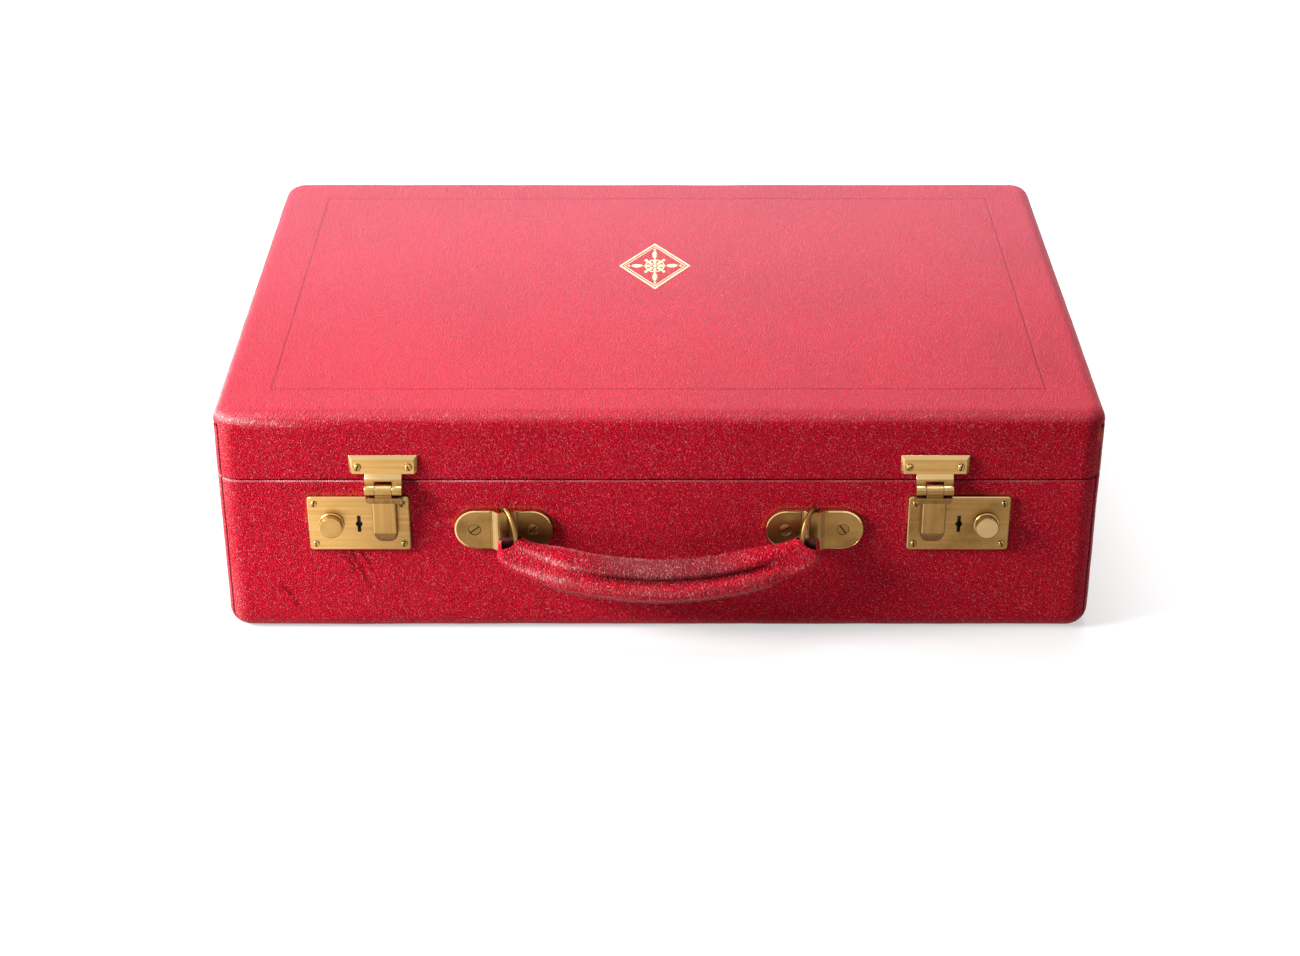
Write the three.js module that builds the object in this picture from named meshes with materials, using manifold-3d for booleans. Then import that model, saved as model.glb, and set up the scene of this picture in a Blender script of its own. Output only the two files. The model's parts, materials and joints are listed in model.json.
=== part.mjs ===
// A leather-covered despatch box: a dovetailed pine case in red leather, with a lid on two
// butt hinges, two locks with hasps, and a padded handle on D-rings. Millimetres, +Z up,
// the front towards -Y, the origin under the middle of the bottom face.
import * as THREE from 'three';
import { mergeVertices } from 'three/addons/utils/BufferGeometryUtils.js';
import Module from 'manifold-3d';

const wasm = await Module();
wasm.setup();

// Overall box
const boxWidth = 457;
const boxDepth = 311;
const boxHeight = 130;
const lidHeight = 38;
const seamGap = 0.5;
const cornerRadius = 12;
const bottomRadius = 10;
const lidEdgeRadius = 6;

// Materials of the case
const leatherThickness = 1.4;
const boardThickness = 9.5;
const floorThickness = 6.5;
const lidBoardThickness = 6.5;
const liningThickness = 2;
const padThickness = 4;
const padCrown = 1.6;
const padEdge = 6;
const padCrownShare = 5;
const liningCorner = 3;
const lipHeight = 5;
const lipClearance = 1;

// Clearances and cutting allowances
const fitGap = 0.3;
const slideGap = 0.5;
const overrun = 2;

// Leather seams at the upright corners, as an angle round the corner from the front
const seamAngle = THREE.MathUtils.degToRad(50);

// Dovetails of the boards
const tailsInBase = 5;
const tailsInLid = 2;
const tailWidth = 8;
const tailFlare = 1.5;
const tailPitchShare = 0.6;

// Lock plates and what they carry
// How far inboard of halfway between the handle plate's end and the box's end each lock sits
const lockInboard = 11.95;
const lockBelowRim = 24.3;
const lockWidth = 52.6;
const lockHeight = 31.6;
const lockThickness = 1.8;
const lockCornerRadius = 1.6;
const lockBevel = 0.5;
const lockScrewInsetAcross = 3.4;
const lockScrewInsetUp = 3.9;
const keyholeRadius = 1.8;
const keyholeSlotWidth = 1.9;
const keyholeHeight = 9.7;
const caseWidth = 46;
const caseHeight = 20.4;
const caseDepth = 9;

// Sliding knobs and bolts
const knobOffset = 14.3;
const knobTravel = 3.5;
const knobRadius = 6;
const knobChamfer = 0.5;
const knobStandOff = 7.3;
const knobCollarRadius = 6.7;
const knobCollarThickness = 1.1;
const knobNeckRadius = 5.4;
const knobHeadThickness = 2.8;
const stemRadius = 2.2;
const boltThickness = 3;
const boltTop = 3;
const boltFoot = 8.6;
const boltRail = 3.2;
const boltHeel = 2.8;
const boltNose = 3;
const boltNoseToHook = 1.3;

// Hasps and their mounts on the lid
const haspInboard = 13.9;
const haspAxisBelowRim = 2.5;
const haspAxisOut = 5.2;
const knuckleRadius = 3.1;
const haspPinRadius = 1.2;
const mountBarWidth = 35.2;
const mountBarHeight = 10.1;
const mountBarAboveAxis = 7.8;
const mountThickness = 2.1;
const mountBevel = 1.8;
const mountBevelFoot = 0.4;
const mountStep = 2;
const mountStemWidth = 19;
const mountSlotHeight = 1.3;
const mountScrewSpacing = 26.2;
const mountScrewUp = 3.9;
const centreKnuckleWidth = 8.5;
const haspWidth = 12.6;
const haspShoulderWidth = 18.4;
const haspShoulderHeight = 3.6;
const haspShoulderDepth = 4;
const haspEdgeRadius = 1.6;
const haspFront = 2.2;
const haspLength = 31.4;
const haspChin = 6.9;
// Each ring of the chin: share of its height, of the hasp's width and of its depth
const chinShares = [[0, 1, 1], [0.4, 0.97, 0.66], [0.75, 0.82, 0.38], [0.93, 0.62, 0.24], [1, 0.42, 0.16]];
const hookWidth = 7.6;
const hookHeight = 5;
const hookReach = 1.9;

// Screws: domed ones on locks and mounts, countersunk ones on the handle plates
const lockScrewRadius = 1.7;
const mountScrewRadius = 1.9;
const domeShare = 0.6;
const domeFootShare = 0.2;
const domeShoulderShare = 0.72;
const slotTurn = THREE.MathUtils.degToRad(67);
const screwSlotWidth = 0.5;
const screwSlotDepth = 0.5;
const shankShare = 0.6;
const screwLength = 8;
const screwTip = 1.5;
const handleScrewRadius = 3.1;
const handleScrewShank = 1.5;
const handleScrewSink = 1.5;

// Handle plates and rings
const ringInset = 2.5;
const handleBelowRim = 27.7;
const handlePlateWidth = 51;
const handlePlateHeight = 22.6;
const handlePlateThickness = 2.2;
const handleScrewSpacing = 30;
const archHalfWidth = 6.6;
const archWall = 1.7;
const tunnelCrownShare = 0.63;
const ringWireRadius = 1.3;
const ringRadius = 13.5;
const ringCorner = 2.5;
const ringAxisOut = 1.9;
const ringYaw = THREE.MathUtils.degToRad(30);
const ringPlay = THREE.MathUtils.degToRad(5);

// Handle
const handleLength = 166;
const gripHeight = 21.4;
const gripThickness = 15;
const tabHeight = 18;
const tabThickness = 9;
const handleDrop = 18;
const gripBelowRing = 22.1;
const gripOut = 17.4;
const handleLean = THREE.MathUtils.degToRad(16);
const handleSwing = THREE.MathUtils.degToRad(70);
const handleEndWall = 2;
const grooveDepth = 2.6;
const grooveWidth = 2.4;
const gripEndShare = 0.55;
const tabStartShare = 0.86;
const gripRoundShare = 0.85;
const tabRoundShare = 0.45;
const tabUprightShare = 0.75;
const flatBackShare = 0.3;
// Each ring of a rounded end: share of the end's radius in from the tip, and of the thickness
const endRoundShares = [[0, 0.4], [0.12, 0.66], [0.45, 0.9], [1, 1]];

// Butt hinges
const hingeInset = 83.5;
const hingeLength = 50;
const hingeLeafWidth = 13;
const hingeLeafThickness = 1.2;
const hingeKnuckleRadius = 3;
const hingePinRadius = 1.25;
const hingeKnuckles = 5;
const hingeScrewRadius = 0.9;
const hingeScrewLength = 7;
const hingeScrewInset = 8;
const hingeScrews = 3;

// Numbers of facets
const cornerFacets = 5;
const edgeFacets = 4;
const roundFacets = 16;
const screwFacets = 8;
const knobFacets = 18;
const wireFacets = 8;
const bowFacets = 14;
const archFacets = 14;
const hingeFacets = 12;
const gripFacets = 18;
const gripSections = 22;

// Places worked out from the sizes above
const halfWidth = boxWidth / 2;
const halfDepth = boxDepth / 2;
const baseHeight = boxHeight - seamGap - lidHeight;
const lidRim = baseHeight + seamGap;
const coverThickness = leatherThickness + fitGap;
const boardInnerX = halfWidth - coverThickness - boardThickness;
const boardInnerY = halfDepth - coverThickness - boardThickness;
const floorTop = coverThickness + floorThickness;
const baseBoardTop = baseHeight - coverThickness;
const lidBoardLow = lidRim + coverThickness;
const lidBoardTop = boxHeight - coverThickness;
const lidBoardUnder = lidBoardTop - lidBoardThickness;
const lockZ = baseHeight - lockBelowRim;
const haspZ = baseHeight - haspAxisBelowRim;
const handleZ = baseHeight - handleBelowRim;
const ringSpacing = handleLength - 2 * ringInset;
const lockMiddle = (ringSpacing / 2 + handlePlateWidth / 2 + halfWidth) / 2;
const lockSpacing = 2 * (lockMiddle - lockInboard);
const haspSpacing = lockSpacing - 2 * haspInboard;
const hingeSpacing = boxWidth - 2 * hingeInset;
const plateFront = fitGap + lockThickness;
const hingeZ = baseHeight + seamGap / 2;
const hingeOut = hingeKnuckleRadius + fitGap;

// Finishes
const finish = (color, roughness, metalness) =>
  new THREE.MeshStandardMaterial({ color, roughness, metalness });
const redLeather = finish('#a5142a', 0.5, 0);
const handleLeather = finish('#b01c30', 0.45, 0);
const pine = finish('#c49a62', 0.8, 0);
const brass = finish('#c39a4a', 0.35, 1);
const darkSteel = finish('#3c3a38', 0.5, 1);
const blackLining = finish('#141416', 0.6, 0);

// A closed solid from a three.js geometry, and a mesh from a solid
function solidOf(geometry) {
  const bare = geometry.clone();
  bare.deleteAttribute('normal');
  bare.deleteAttribute('uv');
  const merged = mergeVertices(bare);
  return new wasm.Manifold(new wasm.Mesh({
    numProp: 3,
    vertProperties: new Float32Array(merged.attributes.position.array),
    triVerts: new Uint32Array(merged.index.array),
  }));
}

function meshOf(name, solid, material) {
  const cut = solid.getMesh();
  const geometry = new THREE.BufferGeometry();
  geometry.setAttribute('position', new THREE.BufferAttribute(cut.vertProperties, 3));
  geometry.setIndex(new THREE.BufferAttribute(cut.triVerts, 1));
  const faceted = geometry.toNonIndexed();
  faceted.computeVertexNormals();
  const mesh = new THREE.Mesh(faceted, material);
  mesh.name = name;
  return mesh;
}

// A block between two values on each axis
function block([x0, x1], [y0, y1], [z0, z1]) {
  const geometry = new THREE.BoxGeometry(x1 - x0, y1 - y0, z1 - z0);
  geometry.translate((x0 + x1) / 2, (y0 + y1) / 2, (z0 + z1) / 2);
  return solidOf(geometry);
}

// A cylinder along x, y or z between two values on that axis
function rod(axis, radius, [from, to], [a, b], facets = roundFacets) {
  const geometry = new THREE.CylinderGeometry(radius, radius, to - from, facets);
  const middle = (from + to) / 2;
  if (axis === 'x') geometry.rotateZ(-Math.PI / 2).translate(middle, a, b);
  if (axis === 'y') geometry.translate(a, middle, b);
  if (axis === 'z') geometry.rotateX(Math.PI / 2).translate(a, b, middle);
  return solidOf(geometry);
}

// An outline of [a, b] points pushed along z, along x, or along y
function prism(points, [from, to], axis = 'z') {
  const shape = new THREE.Shape(points.map(([a, b]) => new THREE.Vector2(a, b)));
  const geometry = new THREE.ExtrudeGeometry(shape, { depth: to - from, bevelEnabled: false });
  geometry.translate(0, 0, from);
  const turn = new THREE.Matrix4();
  if (axis === 'x') turn.set(0, 0, 1, 0, 1, 0, 0, 0, 0, 1, 0, 0, 0, 0, 0, 1);
  if (axis === 'y') turn.set(0, 1, 0, 0, 0, 0, 1, 0, 1, 0, 0, 0, 0, 0, 0, 1);
  geometry.applyMatrix4(turn);
  return solidOf(geometry);
}

// A solid of revolution about z from [radius, height] points that start and end on the axis
function turned(profile, facets) {
  const geometry = new THREE.LatheGeometry(profile.map(([r, h]) => new THREE.Vector2(r, h)), facets);
  geometry.rotateX(Math.PI / 2);
  return solidOf(geometry);
}

// A solid through rings of points, each ring turning anticlockwise about the way they advance
function loft(rings) {
  const count = rings[0].length;
  const positions = rings.flat().flatMap((point) => [point.x, point.y, point.z]);
  const index = [];
  for (let ring = 0; ring + 1 < rings.length; ring += 1) {
    for (let i = 0; i < count; i += 1) {
      const a = ring * count + i;
      const b = ring * count + ((i + 1) % count);
      index.push(a, b, b + count, a, b + count, a + count);
    }
  }
  const last = (rings.length - 1) * count;
  for (let i = 1; i + 1 < count; i += 1) {
    index.push(0, i + 1, i, last, last + i, last + i + 1);
  }
  const geometry = new THREE.BufferGeometry();
  geometry.setAttribute('position', new THREE.Float32BufferAttribute(positions, 3));
  geometry.setIndex(index);
  return solidOf(geometry);
}

// A rounded rectangle's points at one height, anticlockwise seen from above
function roundedRing(halfX, halfY, radius, z, facets = cornerFacets) {
  const ring = [];
  const quarters = [[1, 1], [-1, 1], [-1, -1], [1, -1]];
  quarters.forEach(([sx, sy], quarter) => {
    for (let i = 0; i <= facets; i += 1) {
      const angle = (quarter + i / facets) * Math.PI / 2;
      ring.push(new THREE.Vector3(
        sx * (halfX - radius) + radius * Math.cos(angle),
        sy * (halfY - radius) + radius * Math.sin(angle),
        z,
      ));
    }
  });
  return ring;
}

// A box form with round upright corners and, where asked, round lower or upper edges
function roundedForm({ halfX, halfY, corner, low, high, lowRadius = 0, highRadius = 0 }) {
  const rings = [];
  const addRing = (inset, z) => {
    const radius = Math.max(corner - inset, fitGap);
    rings.push(roundedRing(halfX - inset, halfY - inset, radius, z));
  };
  const edge = (radius, place) => {
    const steps = radius > 0 ? edgeFacets : 0;
    for (let i = 0; i <= steps; i += 1) {
      const angle = steps > 0 ? (i / steps) * Math.PI / 2 : Math.PI / 2;
      place(radius * (1 - Math.sin(angle)), radius * (1 - Math.cos(angle)));
    }
  };
  edge(lowRadius, (inset, rise) => addRing(inset, low + rise));
  const upper = [];
  edge(highRadius, (inset, rise) => upper.unshift([inset, high - rise]));
  upper.forEach(([inset, z]) => addRing(inset, z));
  return loft(rings);
}

// The base's and the lid's outer forms, drawn in by an inset on every closed side
function baseForm(inset, top) {
  return roundedForm({
    halfX: halfWidth - inset,
    halfY: halfDepth - inset,
    corner: cornerRadius - inset,
    low: inset,
    high: top,
    lowRadius: bottomRadius - inset,
  });
}

function lidForm(inset, under) {
  return roundedForm({
    halfX: halfWidth - inset,
    halfY: halfDepth - inset,
    corner: cornerRadius - inset,
    low: under,
    high: boxHeight - inset,
    highRadius: lidEdgeRadius - inset,
  });
}

// The part of the case that one leather panel covers, bounded by the upright seams
function panelZone(side) {
  const centreX = halfWidth - cornerRadius;
  const centreY = halfDepth - cornerRadius;
  const reach = 3 * cornerRadius;
  const along = new THREE.Vector2(Math.sin(seamAngle), Math.cos(seamAngle));
  const forward = side === 'front' || side === 'back';
  const away = new THREE.Vector2(along.y, -along.x).multiplyScalar(forward ? -1 : 1);
  const sign = side === 'front' || side === 'left' ? -1 : 1;
  const near = [centreX + away.x * fitGap / 2, centreY + away.y * fitGap / 2];
  const far = [near[0] + along.x * reach, near[1] + along.y * reach];
  const points = forward
    ? [near, far, [-far[0], far[1]], [-near[0], near[1]]]
    : [near, far, [far[0], -far[1]], [near[0], -near[1]]];
  const placed = points.map(([x, y]) => (forward ? [x, sign * y] : [sign * x, y]));
  return prism(placed, [-overrun, boxHeight + overrun]);
}

// Where shanks of the front's screws run into leather and board: [x, z, shank radius]
const lockScrewAcross = lockWidth / 2 - lockScrewInsetAcross;
const lockScrewUp = lockHeight / 2 - lockScrewInsetUp;
const lockScrewPlaces = [[-1, 1], [1, 1], [-1, -1], [1, -1]]
  .map(([across, up]) => [across * lockScrewAcross, up * lockScrewUp]);
const mountScrewPlaces = [-1, 1].map((across) => [across * mountScrewSpacing / 2, 0]);
const mountScrewZ = haspZ + mountBarAboveAxis + mountScrewUp;
const handleScrewPlaces = [-1, 1].map((across) => [across * handleScrewSpacing / 2, 0]);

function frontHoles(centreX, centreZ, places, shankRadius) {
  return places.map(([x, z]) => rod(
    'y',
    shankRadius + fitGap,
    [-halfDepth - overrun, -halfDepth + screwLength + overrun],
    [centreX + x, centreZ + z],
    screwFacets,
  ));
}

const sides = { left: -1, right: 1 };
const baseHoles = [];
const lidHoles = [];
for (const sign of Object.values(sides)) {
  const lockX = sign * lockSpacing / 2;
  baseHoles.push(...frontHoles(lockX, lockZ, lockScrewPlaces, lockScrewRadius * shankShare));
  baseHoles.push(...frontHoles(sign * ringSpacing / 2, handleZ, handleScrewPlaces, handleScrewShank));
  baseHoles.push(block(
    [lockX - caseWidth / 2 - fitGap, lockX + caseWidth / 2 + fitGap],
    [-halfDepth - overrun, -halfDepth + caseDepth + fitGap],
    [lockZ - caseHeight / 2 - fitGap, lockZ + caseHeight / 2 + fitGap],
  ));
  lidHoles.push(...frontHoles(
    sign * haspSpacing / 2, mountScrewZ, mountScrewPlaces, mountScrewRadius * shankShare,
  ));
}
const cutAll = (solid, cutters) => cutters.reduce((rest, cutter) => rest.subtract(cutter), solid);

// Notches in the leather rims where the hinge leaves lie, and holes for the leaves' screws
const hingeScrewY = halfDepth - coverThickness - boardThickness / 2;
const hingeScrewX = (i) => (i - (hingeScrews - 1) / 2) * (hingeLength - 2 * hingeScrewInset) / (hingeScrews - 1);
const hingeNotches = [];
const hingeHoles = [];
for (const sign of Object.values(sides)) {
  const centre = sign * hingeSpacing / 2;
  hingeNotches.push(block(
    [centre - hingeLength / 2 - fitGap, centre + hingeLength / 2 + fitGap],
    [boardInnerY - overrun, halfDepth + overrun],
    [baseHeight - leatherThickness - fitGap, lidRim + leatherThickness + fitGap],
  ));
  for (let i = 0; i < hingeScrews; i += 1) {
    hingeHoles.push(rod(
      'z',
      hingeScrewRadius + fitGap,
      [hingeZ - hingeScrewLength - overrun, hingeZ + hingeScrewLength + overrun],
      [centre + hingeScrewX(i), hingeScrewY],
      screwFacets,
    ));
  }
}

// Leather skins, turned over the rims
function baseLeather() {
  const shell = baseForm(0, baseHeight)
    .subtract(baseForm(leatherThickness, baseHeight - leatherThickness))
    .subtract(block(
      [-boardInnerX, boardInnerX],
      [-boardInnerY, boardInnerY],
      [baseHeight - cornerRadius, baseHeight + overrun],
    ));
  const turnUnder = cornerRadius + fitGap;
  const bottom = block(
    [turnUnder - halfWidth, halfWidth - turnUnder],
    [turnUnder - halfDepth, halfDepth - turnUnder],
    [0, leatherThickness],
  );
  return [
    meshOf('base_leather_front', cutAll(shell.intersect(panelZone('front')), baseHoles), redLeather),
    meshOf('base_leather_back', cutAll(shell.intersect(panelZone('back')), hingeNotches), redLeather),
    meshOf('base_leather_left', shell.intersect(panelZone('left')), redLeather),
    meshOf('base_leather_right', shell.intersect(panelZone('right')), redLeather),
    meshOf('base_leather_bottom', bottom, redLeather),
  ];
}

function lidLeather() {
  const shell = lidForm(0, lidRim)
    .subtract(lidForm(leatherThickness, lidRim + leatherThickness))
    .subtract(block(
      [-boardInnerX, boardInnerX],
      [-boardInnerY, boardInnerY],
      [lidRim - overrun, lidRim + cornerRadius],
    ));
  const seamZ = boxHeight - lidEdgeRadius;
  const below = block([-boxWidth, boxWidth], [-boxDepth, boxDepth], [0, seamZ - fitGap]);
  const above = block([-boxWidth, boxWidth], [-boxDepth, boxDepth], [seamZ, boxHeight + overrun]);
  const wrap = shell.intersect(panelZone('front').add(panelZone('back')).add(above));
  return [
    meshOf('lid_leather_wrap', cutAll(wrap, [...lidHoles, ...hingeNotches]), redLeather),
    meshOf('lid_leather_left', shell.intersect(panelZone('left')).intersect(below), redLeather),
    meshOf('lid_leather_right', shell.intersect(panelZone('right')).intersect(below), redLeather),
  ];
}

// Dovetail tails of an end board at one corner, enlarged by a clearance for the sockets
function tails(count, [low, high], [sx, sy], grow) {
  const pitch = (high - low) / count;
  const root = boardInnerY - overrun;
  const end = halfDepth;
  const slope = tailFlare / boardThickness;
  const half = (y) => Math.min(tailWidth, pitch * tailPitchShare) / 2 + (y - boardInnerY) * slope + grow;
  const span = [boardInnerX - grow, halfWidth].map((x) => sx * x).sort((a, b) => a - b);
  const cutters = [];
  for (let i = 0; i < count; i += 1) {
    const middle = low + (i + 0.5) * pitch;
    cutters.push(prism([
      [sy * root, middle - half(root)],
      [sy * end, middle - half(end)],
      [sy * end, middle + half(end)],
      [sy * root, middle + half(root)],
    ], span, 'x'));
  }
  return cutters;
}

// Four walls of boards, dovetailed at the corners
function walls(name, form, [low, high], count, holes) {
  const wide = [-boxWidth, boxWidth];
  const meshes = [];
  for (const [end, sy] of [['front', -1], ['back', 1]]) {
    const reach = [boardInnerY, boxDepth].map((y) => sy * y).sort((a, b) => a - b);
    const sockets = [-1, 1].flatMap((sx) => tails(count, [low, high], [sx, sy], fitGap));
    const board = cutAll(form.intersect(block(wide, reach, [low, high])), [...sockets, ...holes[end]]);
    meshes.push(meshOf(`${name}_board_${end}`, board, pine));
  }
  for (const [end, sx] of Object.entries(sides)) {
    const reach = [boardInnerX, boxWidth].map((x) => sx * x).sort((a, b) => a - b);
    const middle = block(reach, [fitGap - boardInnerY, boardInnerY - fitGap], [low, high]);
    const joints = [-1, 1].flatMap((sy) => tails(count, [low, high], [sx, sy], 0));
    const outline = joints.reduce((sum, tail) => sum.add(tail), middle);
    meshes.push(meshOf(`${name}_board_${end}`, form.intersect(outline), pine));
  }
  return meshes;
}

function boards() {
  const wide = [[-boxWidth, boxWidth], [-boxDepth, boxDepth]];
  const base = baseForm(coverThickness, baseBoardTop);
  const lid = lidForm(coverThickness, lidBoardLow);
  const floor = base.intersect(block(...wide, [0, floorTop]));
  const top = lid.intersect(block(...wide, [lidBoardUnder, boxHeight]));
  return {
    base: [
      ...walls('base', base, [floorTop + fitGap, baseBoardTop], tailsInBase, {
        front: baseHoles,
        back: hingeHoles,
      }),
      meshOf('base_floor_board', floor, pine),
    ],
    lid: [
      ...walls('lid', lid, [lidBoardLow, lidBoardUnder - fitGap], tailsInLid, {
        front: lidHoles,
        back: hingeHoles,
      }),
      meshOf('lid_top_board', top, pine),
    ],
  };
}

// A pad with a round edge and a crown, lying on a level (up) or hanging from it (down)
function pad(halfX, halfY, level, way) {
  const profile = [[0, 0]];
  for (let i = 0; i <= edgeFacets; i += 1) {
    const angle = (i / edgeFacets) * Math.PI / 2;
    profile.push([padEdge * (1 - Math.cos(angle)), padThickness * (1 + Math.sin(angle)) / 2]);
  }
  profile.push([padEdge * padCrownShare, padThickness + padCrown]);
  const rings = profile.map(([inset, rise]) => roundedRing(
    halfX - inset, halfY - inset, liningCorner, level + way * rise, 1,
  ));
  return loft(way > 0 ? rings : rings.reverse());
}

function liningRing(inset, [low, high]) {
  const ring = (z) => roundedRing(
    boardInnerX - fitGap - inset, boardInnerY - fitGap - inset, liningCorner, z, 1,
  );
  return loft([ring(low), ring(high)]);
}

// Black linings: walls with a lip that locates the lid, a floor pad, and a tray in the lid
function linings() {
  const floor = floorTop + fitGap;
  const lip = baseHeight + lipHeight;
  const wallSolid = liningRing(0, [floor, lip])
    .subtract(liningRing(liningThickness, [floor - overrun, lip + overrun]));
  const padInset = fitGap + liningThickness + fitGap;
  const floorPad = pad(boardInnerX - padInset, boardInnerY - padInset, floor, 1);
  const ceiling = lidBoardUnder - fitGap;
  const tray = liningRing(0, [lip + lipClearance, ceiling])
    .subtract(liningRing(liningThickness, [baseHeight, ceiling - padThickness / 2]))
    .add(pad(boardInnerX - padInset, boardInnerY - padInset, ceiling, -1));
  return {
    base: [
      meshOf('base_lining_walls', wallSolid, blackLining),
      meshOf('base_floor_pad', floorPad, blackLining),
    ],
    lid: [meshOf('lid_lining', tray, blackLining)],
  };
}

// A group standing on the front face: x across, y up, z outwards
function onFront(x, z, meshes) {
  const group = new THREE.Group();
  group.position.set(x, -halfDepth, z);
  group.rotation.x = Math.PI / 2;
  group.add(...meshes);
  return group;
}

// A domed, slotted screw whose head sits on a face, and a countersunk one
function domedScrew(radius, seat) {
  const shank = radius * shankShare;
  const dome = radius * domeShare;
  const top = seat + dome;
  const screw = turned([
    [0, -screwLength],
    [shank, screwTip - screwLength],
    [shank, seat],
    [radius, seat],
    [radius, seat + dome * domeFootShare],
    [radius * domeShoulderShare, seat + dome * domeShoulderShare],
    [0, top],
  ], screwFacets);
  return cutSlot(screw, radius, top);
}

function countersunkScrew(radius, shank, top) {
  const screw = turned([
    [0, -screwLength],
    [shank, screwTip - screwLength],
    [shank, top - handleScrewSink],
    [radius, top],
    [0, top],
  ], screwFacets + screwFacets / 2);
  return cutSlot(screw, radius, top);
}

function cutSlot(screw, radius, top) {
  const half = screwSlotWidth / 2;
  return screw.subtract(block(
    [-radius - overrun, radius + overrun], [-half, half], [top - screwSlotDepth, top + overrun],
  ));
}

function placeScrews(name, makeScrew, places, up = 0) {
  return places.map(([x, y], i) => {
    const mesh = meshOf(`${name}_${i + 1}`, makeScrew(), brass);
    mesh.position.set(x, y + up, 0);
    mesh.rotation.z = slotTurn * (i + 1);
    return mesh;
  });
}

// One lock: its plate, the case let into the board, the knob with its bolt, and the screws.
// Outboard is the side away from the middle of the box.
function lock(side, sign) {
  const out = (a) => sign * a;
  const across = (a, b) => [out(a), out(b)].sort((p, q) => p - q);
  const through = [-caseDepth, knobStandOff];
  const stemSlotHalf = stemRadius + slideGap;
  const hookClear = hookWidth / 2 + slideGap;
  const knobOut = knobOffset + knobTravel;
  const keySlot = keyholeSlotWidth / 2;
  const plate = cutAll(
    loft([
      [0, fitGap],
      [0, plateFront - lockBevel],
      [lockBevel, plateFront],
    ].map(([inset, z]) => roundedRing(
      lockWidth / 2 - inset, lockHeight / 2 - inset, lockCornerRadius, z, 3,
    ))),
    [
      rod('z', keyholeRadius, through, [0, 0]),
      block([-keySlot, keySlot], [-keyholeHeight / 2, keyholeHeight / 2], through),
      rod('z', stemSlotHalf, through, [out(knobOffset), 0]),
      rod('z', stemSlotHalf, through, [out(knobOut), 0]),
      block(across(knobOffset, knobOut), [-stemSlotHalf, stemSlotHalf], through),
      block(
        across(-haspInboard - hookClear, -haspInboard + hookClear),
        [-hookHeight / 2 - slideGap, lockHeight],
        through,
      ),
      ...lockScrewPlaces.map(([x, y]) => rod(
        'z', lockScrewRadius * shankShare + fitGap, through, [x, y], screwFacets,
      )),
    ],
  );
  const heel = knobOffset + boltHeel;
  const noseEnd = -(haspInboard - hookWidth / 2 - boltNoseToHook);
  const noseRoot = noseEnd + boltNose;
  const heelRoot = knobOffset - boltHeel;
  const boltBack = -fitGap - boltThickness;
  const recess = block(
    across(-haspInboard - hookClear, heel + knobTravel + slideGap),
    [-boltFoot - slideGap, boltTop + slideGap],
    [boltBack - fitGap, overrun],
  );
  const lockCase = block(
    [-caseWidth / 2, caseWidth / 2],
    [-caseHeight / 2, caseHeight / 2],
    [-caseDepth, 0],
  ).subtract(recess);
  const bolt = prism([
    [out(heel), boltTop],
    [out(heelRoot), boltTop],
    [out(heelRoot), boltRail - boltFoot],
    [out(noseRoot), boltRail - boltFoot],
    [out(noseRoot), boltTop],
    [out(noseEnd), boltTop],
    [out(noseEnd), -boltFoot],
    [out(heel), -boltFoot],
  ], [boltBack, -fitGap]);
  const seat = plateFront + fitGap;
  const headUnder = knobStandOff - knobHeadThickness;
  const grip = turned([
    [0, -boltThickness / 2],
    [stemRadius, -boltThickness / 2],
    [stemRadius, seat],
    [knobCollarRadius, seat],
    [knobCollarRadius, seat + knobCollarThickness],
    [knobNeckRadius, seat + knobCollarThickness],
    [knobNeckRadius, headUnder],
    [knobRadius, headUnder],
    [knobRadius, knobStandOff - knobChamfer],
    [knobRadius - knobChamfer, knobStandOff],
    [0, knobStandOff],
  ], knobFacets).translate([out(knobOffset), 0, 0]);
  const screws = placeScrews(
    `lock_screw_${side}`, () => domedScrew(lockScrewRadius, seat), lockScrewPlaces,
  );
  return onFront(sign * lockSpacing / 2, lockZ, [
    meshOf(`lock_plate_${side}`, plate, brass),
    meshOf(`lock_case_${side}`, lockCase, darkSteel),
    meshOf(`lock_knob_${side}`, bolt.add(grip), brass),
    ...screws,
  ]);
}

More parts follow.
